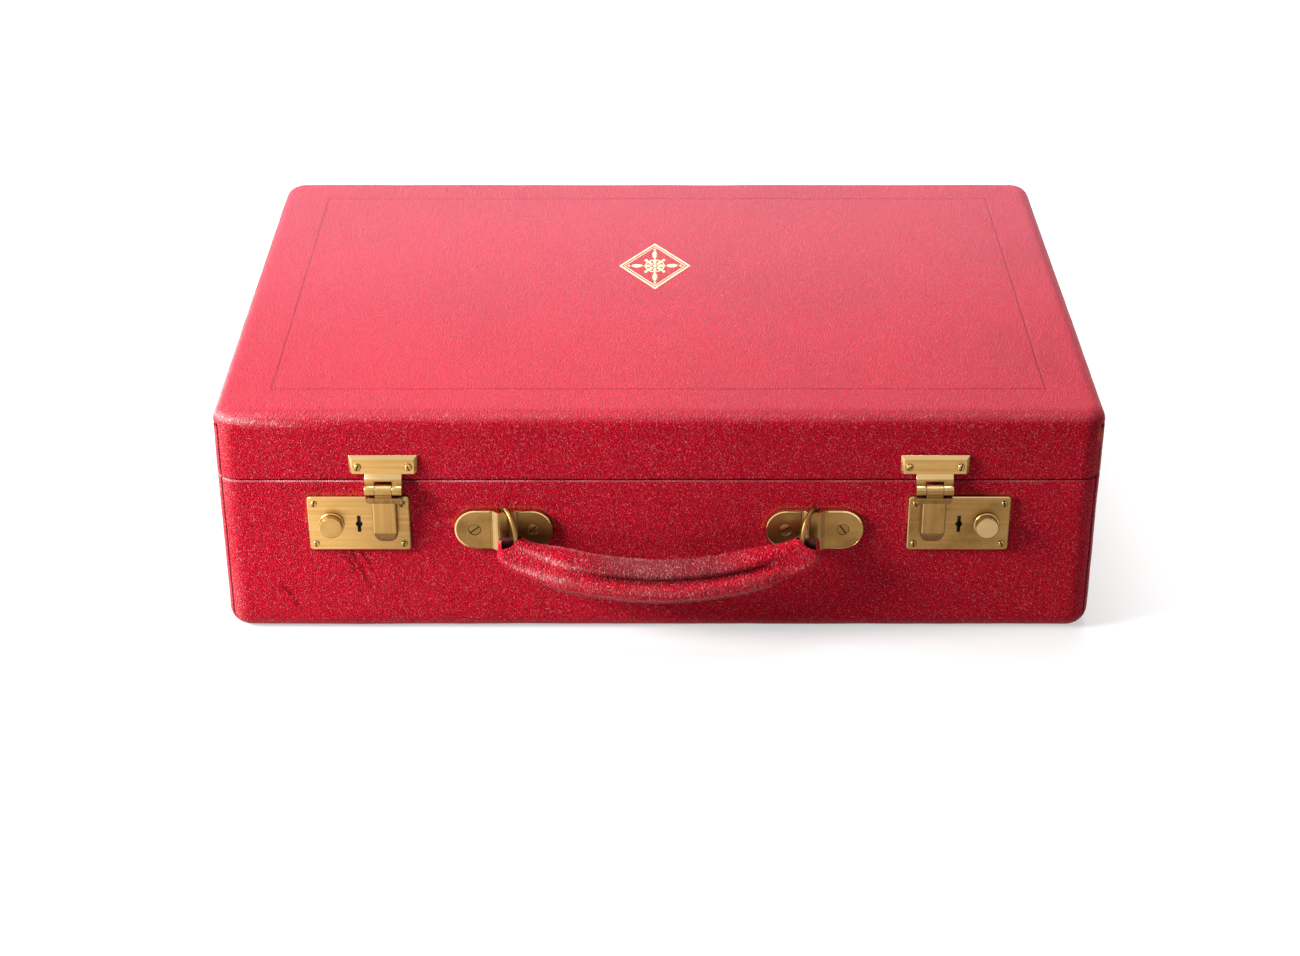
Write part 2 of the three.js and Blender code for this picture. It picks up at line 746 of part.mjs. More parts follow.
// One hasp mount: a bevelled bar screwed to the lid, a strap stepping out over the seam,
// and two knuckles; its group's origin is on the hinge line of the hasp
function haspMount(side, sign) {
  const front = fitGap + mountThickness;
  const strapFront = front + mountStep;
  const strapBack = strapFront - mountThickness;
  const bend = mountThickness * (Math.SQRT2 - 1);
  const halfBar = mountBarWidth / 2;
  const low = mountBarAboveAxis;
  const high = low + mountBarHeight;
  const barRing = (inset, z) => [
    [halfBar - inset, low], [halfBar - inset, high - inset],
    [inset - halfBar, high - inset], [inset - halfBar, low],
  ].map(([x, y]) => new THREE.Vector3(x, y, z));
  const bar = loft([
    barRing(0, fitGap), barRing(0, fitGap + mountBevelFoot), barRing(mountBevel, front),
  ]);
  const tuck = knuckleRadius / 3;
  const halfStem = mountStemWidth / 2;
  const strap = prism([
    [low + tuck, fitGap],
    [low + tuck, front],
    [low, front],
    [low - mountStep, strapFront],
    [tuck, strapFront],
    [tuck, strapBack],
    [low - mountStep - bend, strapBack],
    [low - bend, fitGap],
  ], [-halfStem, halfStem], 'x');
  const axis = [0, haspAxisOut];
  const halfGap = centreKnuckleWidth / 2 + fitGap;
  const body = bar
    .add(strap)
    .add(rod('x', knuckleRadius, [-halfStem, halfStem], axis))
    .subtract(block(
      [-halfGap, halfGap],
      [-knuckleRadius - overrun, knuckleRadius + mountSlotHeight],
      [0, haspAxisOut + knuckleRadius + overrun],
    ))
    .subtract(rod('x', haspPinRadius + fitGap, [-mountStemWidth, mountStemWidth], axis, screwFacets));
  const screwHoles = mountScrewPlaces.map(([x]) => rod(
    'z', mountScrewRadius * shankShare + fitGap, [-overrun, strapFront], [x, low + mountScrewUp],
    screwFacets,
  ));
  const screws = placeScrews(
    `hasp_screw_${side}`, () => domedScrew(mountScrewRadius, front + fitGap), mountScrewPlaces,
    low + mountScrewUp,
  );
  const pin = rod('x', haspPinRadius, [-halfStem, halfStem], axis, screwFacets);
  return onFront(sign * haspSpacing / 2, haspZ, [
    meshOf(`hasp_mount_${side}`, cutAll(body, screwHoles), brass),
    meshOf(`hasp_pin_${side}`, pin, brass),
    ...screws,
  ]);
}

// One hasp: the middle knuckle, a shoulder, a body with round long edges that ends in a
// chin drawn back towards the lock, and the hook on its back
function hasp(side, sign) {
  const axis = [0, haspAxisOut];
  const back = plateFront + slideGap;
  const front = haspAxisOut + haspFront;
  const shoulderTop = -knuckleRadius - slideGap;
  const halfKnuckle = centreKnuckleWidth / 2;
  const halfShoulder = haspShoulderWidth / 2;
  const bodyRing = (y, widthShare, frontShare) => {
    const half = haspWidth * widthShare / 2;
    const face = back + (front - back) * frontShare;
    const radius = Math.min(haspEdgeRadius, (face - back) * domeShare);
    const ring = [new THREE.Vector3(half, y, back)];
    for (const [turn, way] of [[0, 1], [1, -1]]) {
      for (let i = 0; i <= edgeFacets; i += 1) {
        const angle = (turn + i / edgeFacets) * Math.PI / 2;
        ring.push(new THREE.Vector3(
          way * (half - radius) + radius * Math.cos(angle),
          y,
          face - radius + radius * Math.sin(angle),
        ));
      }
    }
    ring.push(new THREE.Vector3(-half, y, back));
    return ring;
  };
  const chinTop = haspChin - haspLength;
  const body = loft([
    bodyRing(shoulderTop, 1, 1),
    ...chinShares.map(([along, width, depth]) => bodyRing(chinTop - haspChin * along, width, depth)),
  ]);
  const hookY = lockZ - haspZ;
  const solid = rod('x', knuckleRadius, [-halfKnuckle, halfKnuckle], axis)
    .add(block([-halfKnuckle, halfKnuckle], [shoulderTop - slideGap, 0], [back, front]))
    .add(block(
      [-halfShoulder, halfShoulder],
      [shoulderTop - haspShoulderHeight, shoulderTop],
      [back, back + haspShoulderDepth],
    ))
    .add(body)
    .add(block(
      [-hookWidth / 2, hookWidth / 2],
      [hookY - hookHeight / 2, hookY + hookHeight / 2],
      [back - hookReach, front - haspEdgeRadius],
    ))
    .subtract(rod('x', haspPinRadius + fitGap, [-haspWidth, haspWidth], axis, screwFacets));
  return onFront(sign * haspSpacing / 2, haspZ, [meshOf(`hasp_${side}`, solid, brass)]);
}

// Handle plates: a stadium of brass pressed out into an upright arch over the ring's leg
const tunnelTop = ringAxisOut + ringWireRadius + fitGap;
const archCrest = tunnelTop + archWall;

function handlePlate(side, sign) {
  const front = fitGap + handlePlateThickness;
  const half = handlePlateWidth / 2;
  const halfUp = handlePlateHeight / 2;
  const tunnelHalf = ringWireRadius + 2 * fitGap;
  const outer = [];
  for (let i = 0; i <= archFacets; i += 1) {
    const x = archHalfWidth * (2 * i / archFacets - 1);
    const rise = THREE.MathUtils.smoothstep(archHalfWidth - Math.abs(x), 0, archHalfWidth - tunnelHalf);
    outer.push([x, front + (archCrest - front) * rise]);
  }
  const inner = [
    [tunnelHalf + archWall, fitGap],
    [tunnelHalf, ringAxisOut + ringWireRadius / 2],
    [tunnelHalf * tunnelCrownShare, tunnelTop],
  ];
  const profile = [
    [-half, fitGap],
    [-half, front],
    ...outer,
    [half, front],
    [half, fitGap],
    ...inner,
    ...inner.map(([x, z]) => [-x, z]).reverse(),
  ];
  const sheet = prism(profile.map(([x, z]) => [z, x]), [-halfUp - overrun, halfUp + overrun], 'y');
  const stadium = loft([0, archCrest + overrun].map((z) => roundedRing(
    half, halfUp, halfUp - fitGap, z, edgeFacets + edgeFacets,
  )));
  const sinkTop = front - fitGap / 2;
  const holes = handleScrewPlaces.map(([x]) => turned([
    [0, -overrun],
    [handleScrewShank + fitGap, -overrun],
    [handleScrewShank + fitGap, sinkTop - handleScrewSink],
    [handleScrewRadius + fitGap, sinkTop],
    [handleScrewRadius + fitGap, archCrest],
    [0, archCrest],
  ], screwFacets + screwFacets / 2).translate([x, 0, 0]));
  const screws = placeScrews(
    `handle_screw_${side}`,
    () => countersunkScrew(handleScrewRadius, handleScrewShank, sinkTop),
    handleScrewPlaces,
  );
  return onFront(sign * ringSpacing / 2, handleZ, [
    meshOf(`handle_plate_${side}`, cutAll(sheet.intersect(stadium), holes), brass),
    ...screws,
  ]);
}

// A D-ring: a straight leg in the arch and a round bow, one closed wire
function handleRing(side, sign) {
  const bowEnd = Math.acos(ringCorner / ringRadius);
  const cornerT = ringRadius * Math.sin(bowEnd) - ringCorner;
  const path = [];
  for (let i = 0; i <= bowFacets; i += 1) {
    const angle = bowEnd * (2 * i / bowFacets - 1);
    path.push({ s: ringRadius * Math.cos(angle), t: ringRadius * Math.sin(angle), angle });
  }
  for (const [turn, way] of [[1, 1], [2, -1]]) {
    for (let i = 0; i <= edgeFacets; i += 1) {
      const angle = (turn + i / edgeFacets) * Math.PI / 2;
      const point = {
        s: ringCorner + ringCorner * Math.cos(angle),
        t: way * cornerT + ringCorner * Math.sin(angle),
        angle,
      };
      const nearBow = way > 0 ? i === 0 : i === edgeFacets;
      if (!nearBow) path.push(point);
    }
  }
  const positions = [];
  const index = [];
  path.forEach(({ s, t, angle }, step) => {
    for (let i = 0; i < wireFacets; i += 1) {
      const round = (i / wireFacets) * 2 * Math.PI;
      const reach = ringWireRadius * Math.cos(round);
      positions.push(
        s + reach * Math.cos(angle), t + reach * Math.sin(angle), -ringWireRadius * Math.sin(round),
      );
      const next = (i + 1) % wireFacets;
      const here = step * wireFacets;
      const ahead = ((step + 1) % path.length) * wireFacets;
      index.push(here + i, here + next, ahead + next, here + i, ahead + next, ahead + i);
    }
  });
  const geometry = new THREE.BufferGeometry();
  geometry.setAttribute('position', new THREE.Float32BufferAttribute(positions, 3));
  geometry.setIndex(index);
  const ring = meshOf(`handle_ring_${side}`, solidOf(geometry), brass);
  ring.position.z = ringAxisOut;
  ring.rotation.y = -Math.PI / 2 - sign * ringYaw;
  return onFront(sign * ringSpacing / 2, handleZ, [ring]);
}

// The handle: two padded rolls that flatten into upright tabs, each open above and below
// for a ring's bow, with a bar of leather inside the bow
function handleGrip() {
  const half = handleLength / 2;
  const outward = new THREE.Vector3(0, Math.sin(handleLean), Math.cos(handleLean));
  const down = new THREE.Vector3(0, -Math.cos(handleLean), Math.sin(handleLean));
  const middle = new THREE.Vector3(0, -gripBelowRing, gripOut);
  const endRound = tabThickness / 2;
  const section = (x, thicknessShare) => {
    const s = x / half;
    const flat = THREE.MathUtils.smoothstep(Math.abs(s), gripEndShare, tabStartShare);
    const slope = Math.atan(2 * handleDrop * s / half) * (1 - tabUprightShare * flat);
    const along = new THREE.Vector3(Math.sin(slope), 0, 0).addScaledVector(down, Math.cos(slope));
    const centre = middle.clone().addScaledVector(down, -handleDrop * s * s);
    centre.x = x;
    const thick = THREE.MathUtils.lerp(gripThickness, tabThickness, flat) * thicknessShare / 2;
    const tall = THREE.MathUtils.lerp(gripHeight, tabHeight, flat) / 2;
    const power = THREE.MathUtils.lerp(gripRoundShare, tabRoundShare, flat);
    const ring = [];
    for (let i = 0; i < gripFacets; i += 1) {
      const angle = (i / gripFacets) * 2 * Math.PI;
      const bend = (value) => Math.sign(value) * Math.abs(value) ** power;
      const across = tall * bend(Math.sin(angle));
      const groove = grooveDepth * (1 - flat) * Math.exp(-((across / grooveWidth) ** 2));
      const face = thick * bend(Math.cos(angle));
      const out = face > 0 ? face - groove : face * (1 - flatBackShare * (1 - flat));
      ring.push(centre.clone().addScaledVector(outward, out).addScaledVector(along, across));
    }
    return ring;
  };
  const stations = endRoundShares.map(([inShare, thickShare]) => [half - endRound * inShare, thickShare]);
  const inner = half - endRound * 2;
  const rings = [
    ...stations.map(([x, share]) => section(-x, share)),
    ...Array.from({ length: gripSections + 1 }, (_, i) => section(inner * (2 * i / gripSections - 1), 1)),
    ...stations.reverse().map(([x, share]) => section(x, share)),
  ];
  return loft(rings);
}

// What is cut out of the handle's two tabs so that rings and arches clear it as it swings
function handleCuts(sign) {
  const sector = [];
  const innerRadius = ringRadius * Math.cos(ringYaw + ringPlay) - ringWireRadius - slideGap;
  const outerRadius = ringRadius + ringWireRadius + fitGap;
  const sweepFrom = -handleSwing - handleSwing / 2;
  const sweepTo = handleSwing / 2;
  const arc = (radius, from, to) => {
    for (let i = 0; i <= roundFacets; i += 1) {
      const angle = from + (to - from) * i / roundFacets;
      sector.push([radius * Math.sin(angle), ringAxisOut + radius * Math.cos(angle)]);
    }
  };
  arc(innerRadius, sweepFrom, sweepTo);
  arc(outerRadius, sweepTo, sweepFrom);
  const ringX = ringSpacing / 2;
  const inboard = ringX - ringRadius * Math.sin(ringYaw + ringPlay) - ringWireRadius - slideGap;
  const outboard = handleLength / 2 - handleEndWall;
  const span = (a, b) => [sign * a, sign * b].sort((p, q) => p - q);
  const slot = prism(sector, span(inboard, outboard), 'x');
  const plateHalf = handlePlateHeight / 2 + overrun;
  const crest = block(
    span(ringX - archHalfWidth - fitGap, ringX + archHalfWidth + fitGap),
    [-plateHalf, plateHalf],
    [-handlePlateHeight, archCrest - ringAxisOut + slideGap - fitGap / 3],
  );
  const raised = crest.rotate([THREE.MathUtils.radToDeg(handleSwing), 0, 0]);
  return [slot, crest.translate([0, 0, ringAxisOut]), raised.translate([0, 0, ringAxisOut])];
}

// One butt hinge: a leaf let into each rim, with its screws, and the pin
function hinge(side, sign) {
  const step = hingeLength / hingeKnuckles;
  const knuckleSpan = (k, grow) => {
    const start = k * step - hingeLength / 2;
    return [start + fitGap / 2 - grow, start + step - fitGap / 2 + grow];
  };
  const leaf = (way) => {
    const depth = [seamGap / 2, seamGap / 2 + hingeLeafThickness].map((z) => way * z).sort((a, b) => a - b);
    const sunk = [depth[0], way * hingeScrewLength, depth[1]].sort((a, b) => a - b);
    const own = [];
    const others = [];
    for (let k = 0; k < hingeKnuckles; k += 1) {
      const mine = (k % 2 === 0) === (way < 0);
      if (mine) own.push(rod('x', hingeKnuckleRadius, knuckleSpan(k, 0), [0, 0], hingeFacets));
      else others.push(rod('x', hingeKnuckleRadius + fitGap, knuckleSpan(k, fitGap), [0, 0], hingeFacets));
    }
    const plate = block([-hingeLength / 2, hingeLength / 2], [-hingeLeafWidth, 0], depth);
    const shanks = Array.from({ length: hingeScrews }, (_, i) => rod(
      'z',
      hingeScrewRadius,
      [sunk[0], sunk[2]],
      [hingeScrewX(i), hingeScrewY - halfDepth - hingeOut],
      screwFacets,
    ));
    const knuckled = own.reduce((sum, knuckle) => sum.add(knuckle), cutAll(plate, others));
    const bored = knuckled.subtract(
      rod('x', hingePinRadius + fitGap, [-hingeLength, hingeLength], [0, 0], screwFacets),
    );
    return shanks.reduce((sum, shank) => sum.add(shank), bored);
  };
  const place = (mesh) => {
    mesh.position.set(sign * hingeSpacing / 2, halfDepth + hingeOut, hingeZ);
    return mesh;
  };
  const pin = rod('x', hingePinRadius, [-hingeLength / 2, hingeLength / 2], [0, 0], screwFacets);
  return {
    base: [
      place(meshOf(`hinge_base_leaf_${side}`, leaf(-1), brass)),
      place(meshOf(`hinge_pin_${side}`, pin, brass)),
    ],
    lid: [place(meshOf(`hinge_lid_leaf_${side}`, leaf(1), brass))],
  };
}

// Assembly
const base = new THREE.Group();
const lid = new THREE.Group();
const carcass = boards();
const lining = linings();
base.add(...carcass.base, ...baseLeather(), ...lining.base);
lid.add(...carcass.lid, ...lidLeather(), ...lining.lid);
for (const [side, sign] of Object.entries(sides)) {
  const leaves = hinge(side, sign);
  base.add(lock(side, sign), handlePlate(side, sign), handleRing(side, sign), ...leaves.base);
  lid.add(haspMount(side, sign), hasp(side, sign), ...leaves.lid);
}
const grip = cutAll(handleGrip(), [...handleCuts(-1), ...handleCuts(1)]);
base.add(onFront(0, handleZ, [meshOf('handle_grip', grip, handleLeather)]));

const despatchBox = new THREE.Group();
despatchBox.add(base, lid);

export default despatchBox;
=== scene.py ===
"""Looks for a red leather despatch box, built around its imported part.

Each operator makes one piece or one group of like pieces. Lengths are in metres.
"""

import json
import math

import bmesh
import bpy
from mathutils import Matrix, Vector, noise


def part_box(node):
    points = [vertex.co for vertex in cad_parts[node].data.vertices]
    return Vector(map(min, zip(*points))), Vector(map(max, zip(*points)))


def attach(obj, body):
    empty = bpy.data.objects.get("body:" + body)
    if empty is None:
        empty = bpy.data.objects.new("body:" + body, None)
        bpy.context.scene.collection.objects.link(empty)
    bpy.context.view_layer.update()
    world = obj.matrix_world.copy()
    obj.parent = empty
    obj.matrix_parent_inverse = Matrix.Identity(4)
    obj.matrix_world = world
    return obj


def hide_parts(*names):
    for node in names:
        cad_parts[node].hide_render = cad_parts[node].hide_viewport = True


bl_info = {
    "name": "Leather Despatch Box",
    "version": (1, 0, 0),
    "blender": (4, 5, 0),
    "location": "View3D > Sidebar > Despatch Box",
    "description": "Leather, brass, lining and handle for a despatch box",
    "category": "Object",
}

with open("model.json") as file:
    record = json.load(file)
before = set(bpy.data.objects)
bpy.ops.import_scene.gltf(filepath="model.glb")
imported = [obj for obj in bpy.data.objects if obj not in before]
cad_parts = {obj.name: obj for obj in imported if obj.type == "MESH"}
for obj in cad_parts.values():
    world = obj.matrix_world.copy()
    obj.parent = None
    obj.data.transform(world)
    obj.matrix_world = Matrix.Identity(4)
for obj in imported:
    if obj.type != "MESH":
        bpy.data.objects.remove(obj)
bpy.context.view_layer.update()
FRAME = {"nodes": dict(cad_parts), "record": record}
LID_LOW, LID_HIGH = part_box("lid_leather_wrap")
BASE_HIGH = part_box("base_leather_front")[1]
HALF_WIDTH = LID_HIGH.x
HALF_DEPTH = LID_HIGH.y
UP = Vector((0, 0, 1))
MM = 0.001
SIDES = {"left": -1, "right": 1}
FACE_ANGLES = {"front": -90, "right": 0, "back": 90, "left": 180}
PIVOT_OUT = 0.0019  # how far the line that the handle swings about is in front of the case
RING_RADIUS = 0.0135  # of the handle rings' bows


def length(name, description, default):
    return bpy.props.FloatProperty(
        name=name, description=description, default=default, unit="LENGTH", precision=5
    )


def number(name, description, default, low=0.0, high=1000.0):
    return bpy.props.FloatProperty(
        name=name, description=description, default=default, min=low, max=high
    )


def angle(name, description, degrees):
    return bpy.props.FloatProperty(
        name=name, description=description, default=math.radians(degrees), subtype="ANGLE"
    )


def colour(name, description, default):
    return bpy.props.FloatVectorProperty(
        name=name, description=description, default=default, subtype="COLOR", min=0, max=1
    )


class CaseSizes(bpy.types.PropertyGroup):
    """Forms of the leather that covers the case"""

    corner: length("Corner", "Radius of the upright corners", 0.012)
    foot: length("Foot", "Radius of the base's lower edge", 0.010)
    shoulder: length("Shoulder", "Radius of the lid's upper edge", 0.008)
    leather: length("Leather", "Thickness of the leather", 0.0014)
    turn_over: length("Turn-over", "How far the leather lies over each rim", 0.0112)
    rim_round: length("Rim round", "Radius of the leather's fold at the rims", 0.0009)
    seam: angle("Seam", "Place of the upright seams round each corner, from the front", 50)
    seam_gap: angle("Seam gap", "Angle left open between two panels", 1.2)
    step: length("Step", "Distance between rows of the leather's mesh", 0.0025)
    swell: length("Swell", "Height of the leather's slow unevenness", 0.00028)
    tooling_x: length("Tooling across", "Half width of the blind-tooled rectangle", 0.200)
    tooling_y: length("Tooling along", "Half depth of the blind-tooled rectangle", 0.127)
    tooling_width: length("Tooling width", "Width of the blind-tooled line", 0.0009)
    tooling_depth: length("Tooling depth", "Depth of the blind-tooled line", 0.00035)


class LeatherLook(bpy.types.PropertyGroup):
    """Colours and grain of the red leather"""

    red: colour("Red", "Main colour", (0.79, 0.008, 0.035))
    # Deep red is also the painted shade in the larger creases and the handle's groove.
    deep: colour("Deep red", "Colour in creases and blotches", (0.33, 0.004, 0.013))
    # The worn colour is also the colour of the painted glints and highlights.
    rubbed_and_highlight: colour("Rubbed", "Colour where edges are rubbed", (0.92, 0.45, 0.46))
    # Painted sheen, paler towards the back of the lid's top.
    painted_sheen: colour("Faded", "Colour where light has faded the lid", (0.80, 0.26, 0.34))
    raw: colour("Raw edge", "Colour of cut leather", (0.95, 0.12, 0.05))
    # The seams' dark colour is dirt, and painted shade along gaps, round plates, in the handle's
    # groove and in its slots.
    dirt_and_shade: colour("Dirt", "Colour in the seams", (0.035, 0.008, 0.008))
    # Dark colour of hands on the handle, and of the painted shade under it.
    soil_and_shade: colour("Soil", "Colour where hands darken the handle", (0.13, 0.014, 0.022))
    grain: number("Grain", "Grain cells per metre", 760.0, 10, 5000)
    roughness: number("Roughness", "Roughness of the finish", 0.33, 0, 1)


class HandleSizes(bpy.types.PropertyGroup):
    """Forms of the padded handle"""

    half: length("Half length", "Half of the handle's length", 0.083)
    height: length("Height", "Height of the grip", 0.0214)
    thickness: length("Thickness", "Thickness of the grip", 0.015)
    tab_height: length("Tab height", "Height of the flat ends", 0.018)
    tab_thickness: length("Tab thickness", "Thickness of the flat ends", 0.009)
    drop: length("Drop", "How far the middle hangs below the ends", 0.018)
    below: length("Below", "Middle of the grip below the swing line", 0.0221)
    out: length("Out", "Middle of the grip in front of the case", 0.0174)
    lean: angle("Lean", "Lean of the grip away from the case", 16)
    groove: length("Groove", "Depth of the groove between the rolls", 0.0038)
    groove_width: length("Groove width", "Half width of the groove", 0.0021)
    groove_place: length("Groove place", "The groove above the middle of the grip", 0.0009)
    welt: length("Welt", "Height of the cut edges that stand out", 0.0011)


class BrassLook(bpy.types.PropertyGroup):
    """Colours and brushing of the brass"""

    brass: colour("Brass", "Main colour", (0.63, 0.37, 0.122))
    # The tarnished colour is also the colour of the painted shade.
    tarnish_and_shade: colour("Tarnish", "Colour of tarnished patches", (0.135, 0.064, 0.017))
    # The polished colour is also the colour of the painted highlights.
    worn: colour("Worn brass", "Colour of polished edges", (0.86, 0.62, 0.30))
    gold: colour("Gold leaf", "Colour of the tooled ornament", (0.86, 0.74, 0.42))
    roughness: number("Roughness", "Roughness of the brushing", 0.38, 0, 1)


class StageLook(bpy.types.PropertyGroup):
    """Camera and light"""

    lens: number("Lens", "Focal length in mm", 67.12, 10, 500)
    place: bpy.props.FloatVectorProperty(
        name="Camera place", description="Where the camera stands", unit="LENGTH",
        default=(-0.00463, -1.24225, 0.7016),
    )
    pitch: angle("Pitch", "How far the camera looks down", 28.179)
    shift: number("Shift", "Upright shift of the frame", -0.0346, -1, 1)
    key: number("Key", "Power of the key light in watts", 17.0)
    top: number("Top", "Power of the light above in watts", 20.0)
    back: number("Back", "Power of the light behind in watts", 21.0)
    world: number("World", "Strength of the light from all round", 0.15)


def sizes():
    return bpy.context.scene.despatch_case


def look():
    return bpy.context.scene.despatch_leather


def smooth(value, low, high):
    """0 below low, 1 above high, and a soft step between them."""
    share = min(max((value - low) / (high - low), 0.0), 1.0)
    return share * share * (3 - 2 * share)


def direction(degrees):
    turn = math.radians(degrees)
    return Vector((math.cos(turn), math.sin(turn), 0))


# Meshes


def shade(mesh, limit):
    """Smooth shading, kept sharp where faces meet at more than limit degrees."""
    mesh.polygons.foreach_set("use_smooth", [True] * len(mesh.polygons))
    mesh.set_sharp_from_angle(angle=math.radians(limit))


def add_object(name, data):
    """A new object in the scene's own collection."""
    made = bpy.data.objects.new(name, data)
    bpy.context.scene.collection.objects.link(made)
    return made


def applied_mesh(obj):
    """A new mesh of an object as its modifiers or its bevel leave it."""
    bpy.context.view_layer.update()
    graph = bpy.context.evaluated_depsgraph_get()
    return bpy.data.meshes.new_from_object(obj.evaluated_get(graph))


def make_piece(name, bm, body, materials, nodes=(), limit=35):
    """A finished piece from a bmesh: it rides on a body and stands for CAD nodes."""
    mesh = bpy.data.meshes.new(name)
    bm.normal_update()
    bm.to_mesh(mesh)
    bm.free()
    for material in materials:
        mesh.materials.append(bpy.data.materials[material])
    shade(mesh, limit)
    piece = add_object(name, mesh)
    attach(piece, body)
    if nodes:
        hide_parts(*nodes)
    return piece


def thicken(piece, depth):
    """Gives a surface a thickness on its inner side."""
    wall = piece.modifiers.new("thickness", "SOLIDIFY")
    wall.thickness = depth
    wall.offset = -1


def body_of(part):
    for body, members in FRAME["record"]["behaviour"]["bodies"].items():
        if part in members:
            return body
    raise ValueError(f"no body holds {part}")


def centre_of(part):
    """The middle of a CAD node's box."""
    low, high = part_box(part)
    return (low + high) / 2


def corner_layers(bm, *names):
    """Values kept at the corners of faces, made where the mesh has none yet."""
    layers = bm.loops.layers.float
    for name in names:
        if layers.get(name) is None:
            layers.new(name)
    return [layers[name] for name in names]


def paint(faces, layer, value):
    """Writes a value at every corner of some faces."""
    for loop in (loop for face in faces for loop in face.loops):
        loop[layer] = value


def brass_shade_and_highlight(bm, bright=0.7, plain=0.0):
    """Paints shade on faces that look down or to the right, and highlight on faces that look up or
    to the left; plain is the least shade on any face, and polished edges keep half their mark where
    unshaded.
    """
    edge, hidden = corner_layers(bm, "edge", "hidden")
    bm.normal_update()
    for face in bm.faces:
        n = face.normal
        dull = max(smooth(-n.z, 0.05, 0.6), 0.9 * smooth(n.x, 0.3, 0.9), plain)
        lit = bright * max(smooth(n.z, 0.25, 0.8), smooth(-n.x, 0.25, 0.8))
        for loop in face.loops:
            loop[hidden] = dull
            loop[edge] = max(lit, 0.5 * loop[edge] * (1 - dull))


def merged_copy(part):
    """A CAD node's mesh as one closed surface, its flat faces whole."""
    bm = bmesh.new()
    bm.from_mesh(FRAME["nodes"][part].data)
    bmesh.ops.remove_doubles(bm, verts=bm.verts, dist=0.01 * MM)
    bmesh.ops.dissolve_limit(
        bm, angle_limit=math.radians(0.5), verts=bm.verts, edges=bm.edges, delimit={"NORMAL"}
    )
    return bm


def soften_edges(bm, width, limit=40, segments=2):
    """Rounds every edge whose faces meet at more than limit degrees, and marks it as an edge."""
    (edge,) = corner_layers(bm, "edge")
    sharp = [
        e for e in bm.edges
        if len(e.link_faces) == 2 and e.calc_face_angle(0) > math.radians(limit)
        and e.calc_length() > width
    ]
    made = bmesh.ops.bevel(
        bm, geom=sharp, offset=width, offset_type="OFFSET", segments=segments, profile=0.5,
        affect="EDGES", clamp_overlap=True, material=-1,
    )
    paint(made["faces"], edge, 1.0)


def spun(profile, steps):
    """A closed solid turned about z from (radius, height) points, the first and last on it."""
    bm = bmesh.new()
    verts = [bm.verts.new((r, 0, h)) for r, h in profile]
    edges = [bm.edges.new(pair) for pair in zip(verts, verts[1:])]
    bmesh.ops.spin(
        bm, geom=verts + edges, cent=(0, 0, 0), axis=UP, angle=math.tau, steps=steps,
        use_merge=True,
    )
    bmesh.ops.remove_doubles(bm, verts=bm.verts, dist=0.001 * MM)
    bmesh.ops.recalc_face_normals(bm, faces=bm.faces)
    return bm


def block(bm, low, high):
    """Adds a block between two corners and returns its vertices."""
    low, high = Vector(low), Vector(high)
    place = Matrix.Translation((low + high) / 2) @ Matrix.Diagonal((*(high - low), 1))
    return bmesh.ops.create_cube(bm, size=1, matrix=place)["verts"]


def without_repeats(items):
    """A list in the order given, so that each run goes through a mesh in the same way."""
    return list(dict.fromkeys(items))


def extruded(bm, faces):
    """Extrudes faces on the spot and returns the new vertices."""
    made = bmesh.ops.extrude_face_region(bm, geom=faces)
    return [v for v in made["geom"] if isinstance(v, bmesh.types.BMVert)]


def add_grid(bm, middle, half, height, columns, rows):
    """A level grid of faces round a middle."""
    place = Matrix.Translation((middle.x, middle.y, height))
    bmesh.ops.create_grid(
        bm, x_segments=columns, y_segments=rows, size=1,
        matrix=place @ Matrix.Diagonal((half.x, half.y, 1, 1)),
    )


def slice_faces(bm, faces, place, axis):
    """Cuts faces along a plane that is square to an axis."""
    normal = Vector((0, 0, 0))
    normal[axis] = 1
    edges = without_repeats(e for f in faces for e in f.edges)
    verts = without_repeats(v for f in faces for v in f.verts)
    bmesh.ops.bisect_plane(
        bm, geom=verts + edges + faces, plane_co=place, plane_no=normal, dist=1e-7
    )


def cut_away(piece, cutter_bm):
    """Takes a cutter out of a piece for good; the cut faces take the piece's last material."""
    mesh = bpy.data.meshes.new("cutter")
    cutter_bm.to_mesh(mesh)
    cutter_bm.free()
    for material in piece.data.materials:
        mesh.materials.append(material)
    mesh.polygons.foreach_set("material_index", [len(mesh.materials) - 1] * len(mesh.polygons))
    cutter = add_object("cutter", mesh)
    modifier = piece.modifiers.new("cut", "BOOLEAN")
    modifier.operation = "DIFFERENCE"
    modifier.solver = "EXACT"
    modifier.object = cutter
    result = applied_mesh(piece)
    piece.modifiers.clear()
    piece.data = result
    bpy.data.objects.remove(cutter)


def onto_front(x, z, turn=0.0):
    """Takes z outwards, x across and y up to a place on the front face."""
    stand = Matrix.Rotation(math.pi / 2, 4, "X")
    return Matrix.Translation((x, -HALF_DEPTH, z)) @ stand @ Matrix.Rotation(turn, 4, "Z")


# Leather surfaces


def open_profile(bm, profile, centre, degrees):
    """An upright open line of (distance from the centre, height) points, facing degrees."""
    out = direction(degrees)
    verts = [bm.verts.new(centre + out * r + UP * z) for r, z in profile]
    return verts + [bm.edges.new(pair) for pair in zip(verts, verts[1:])]


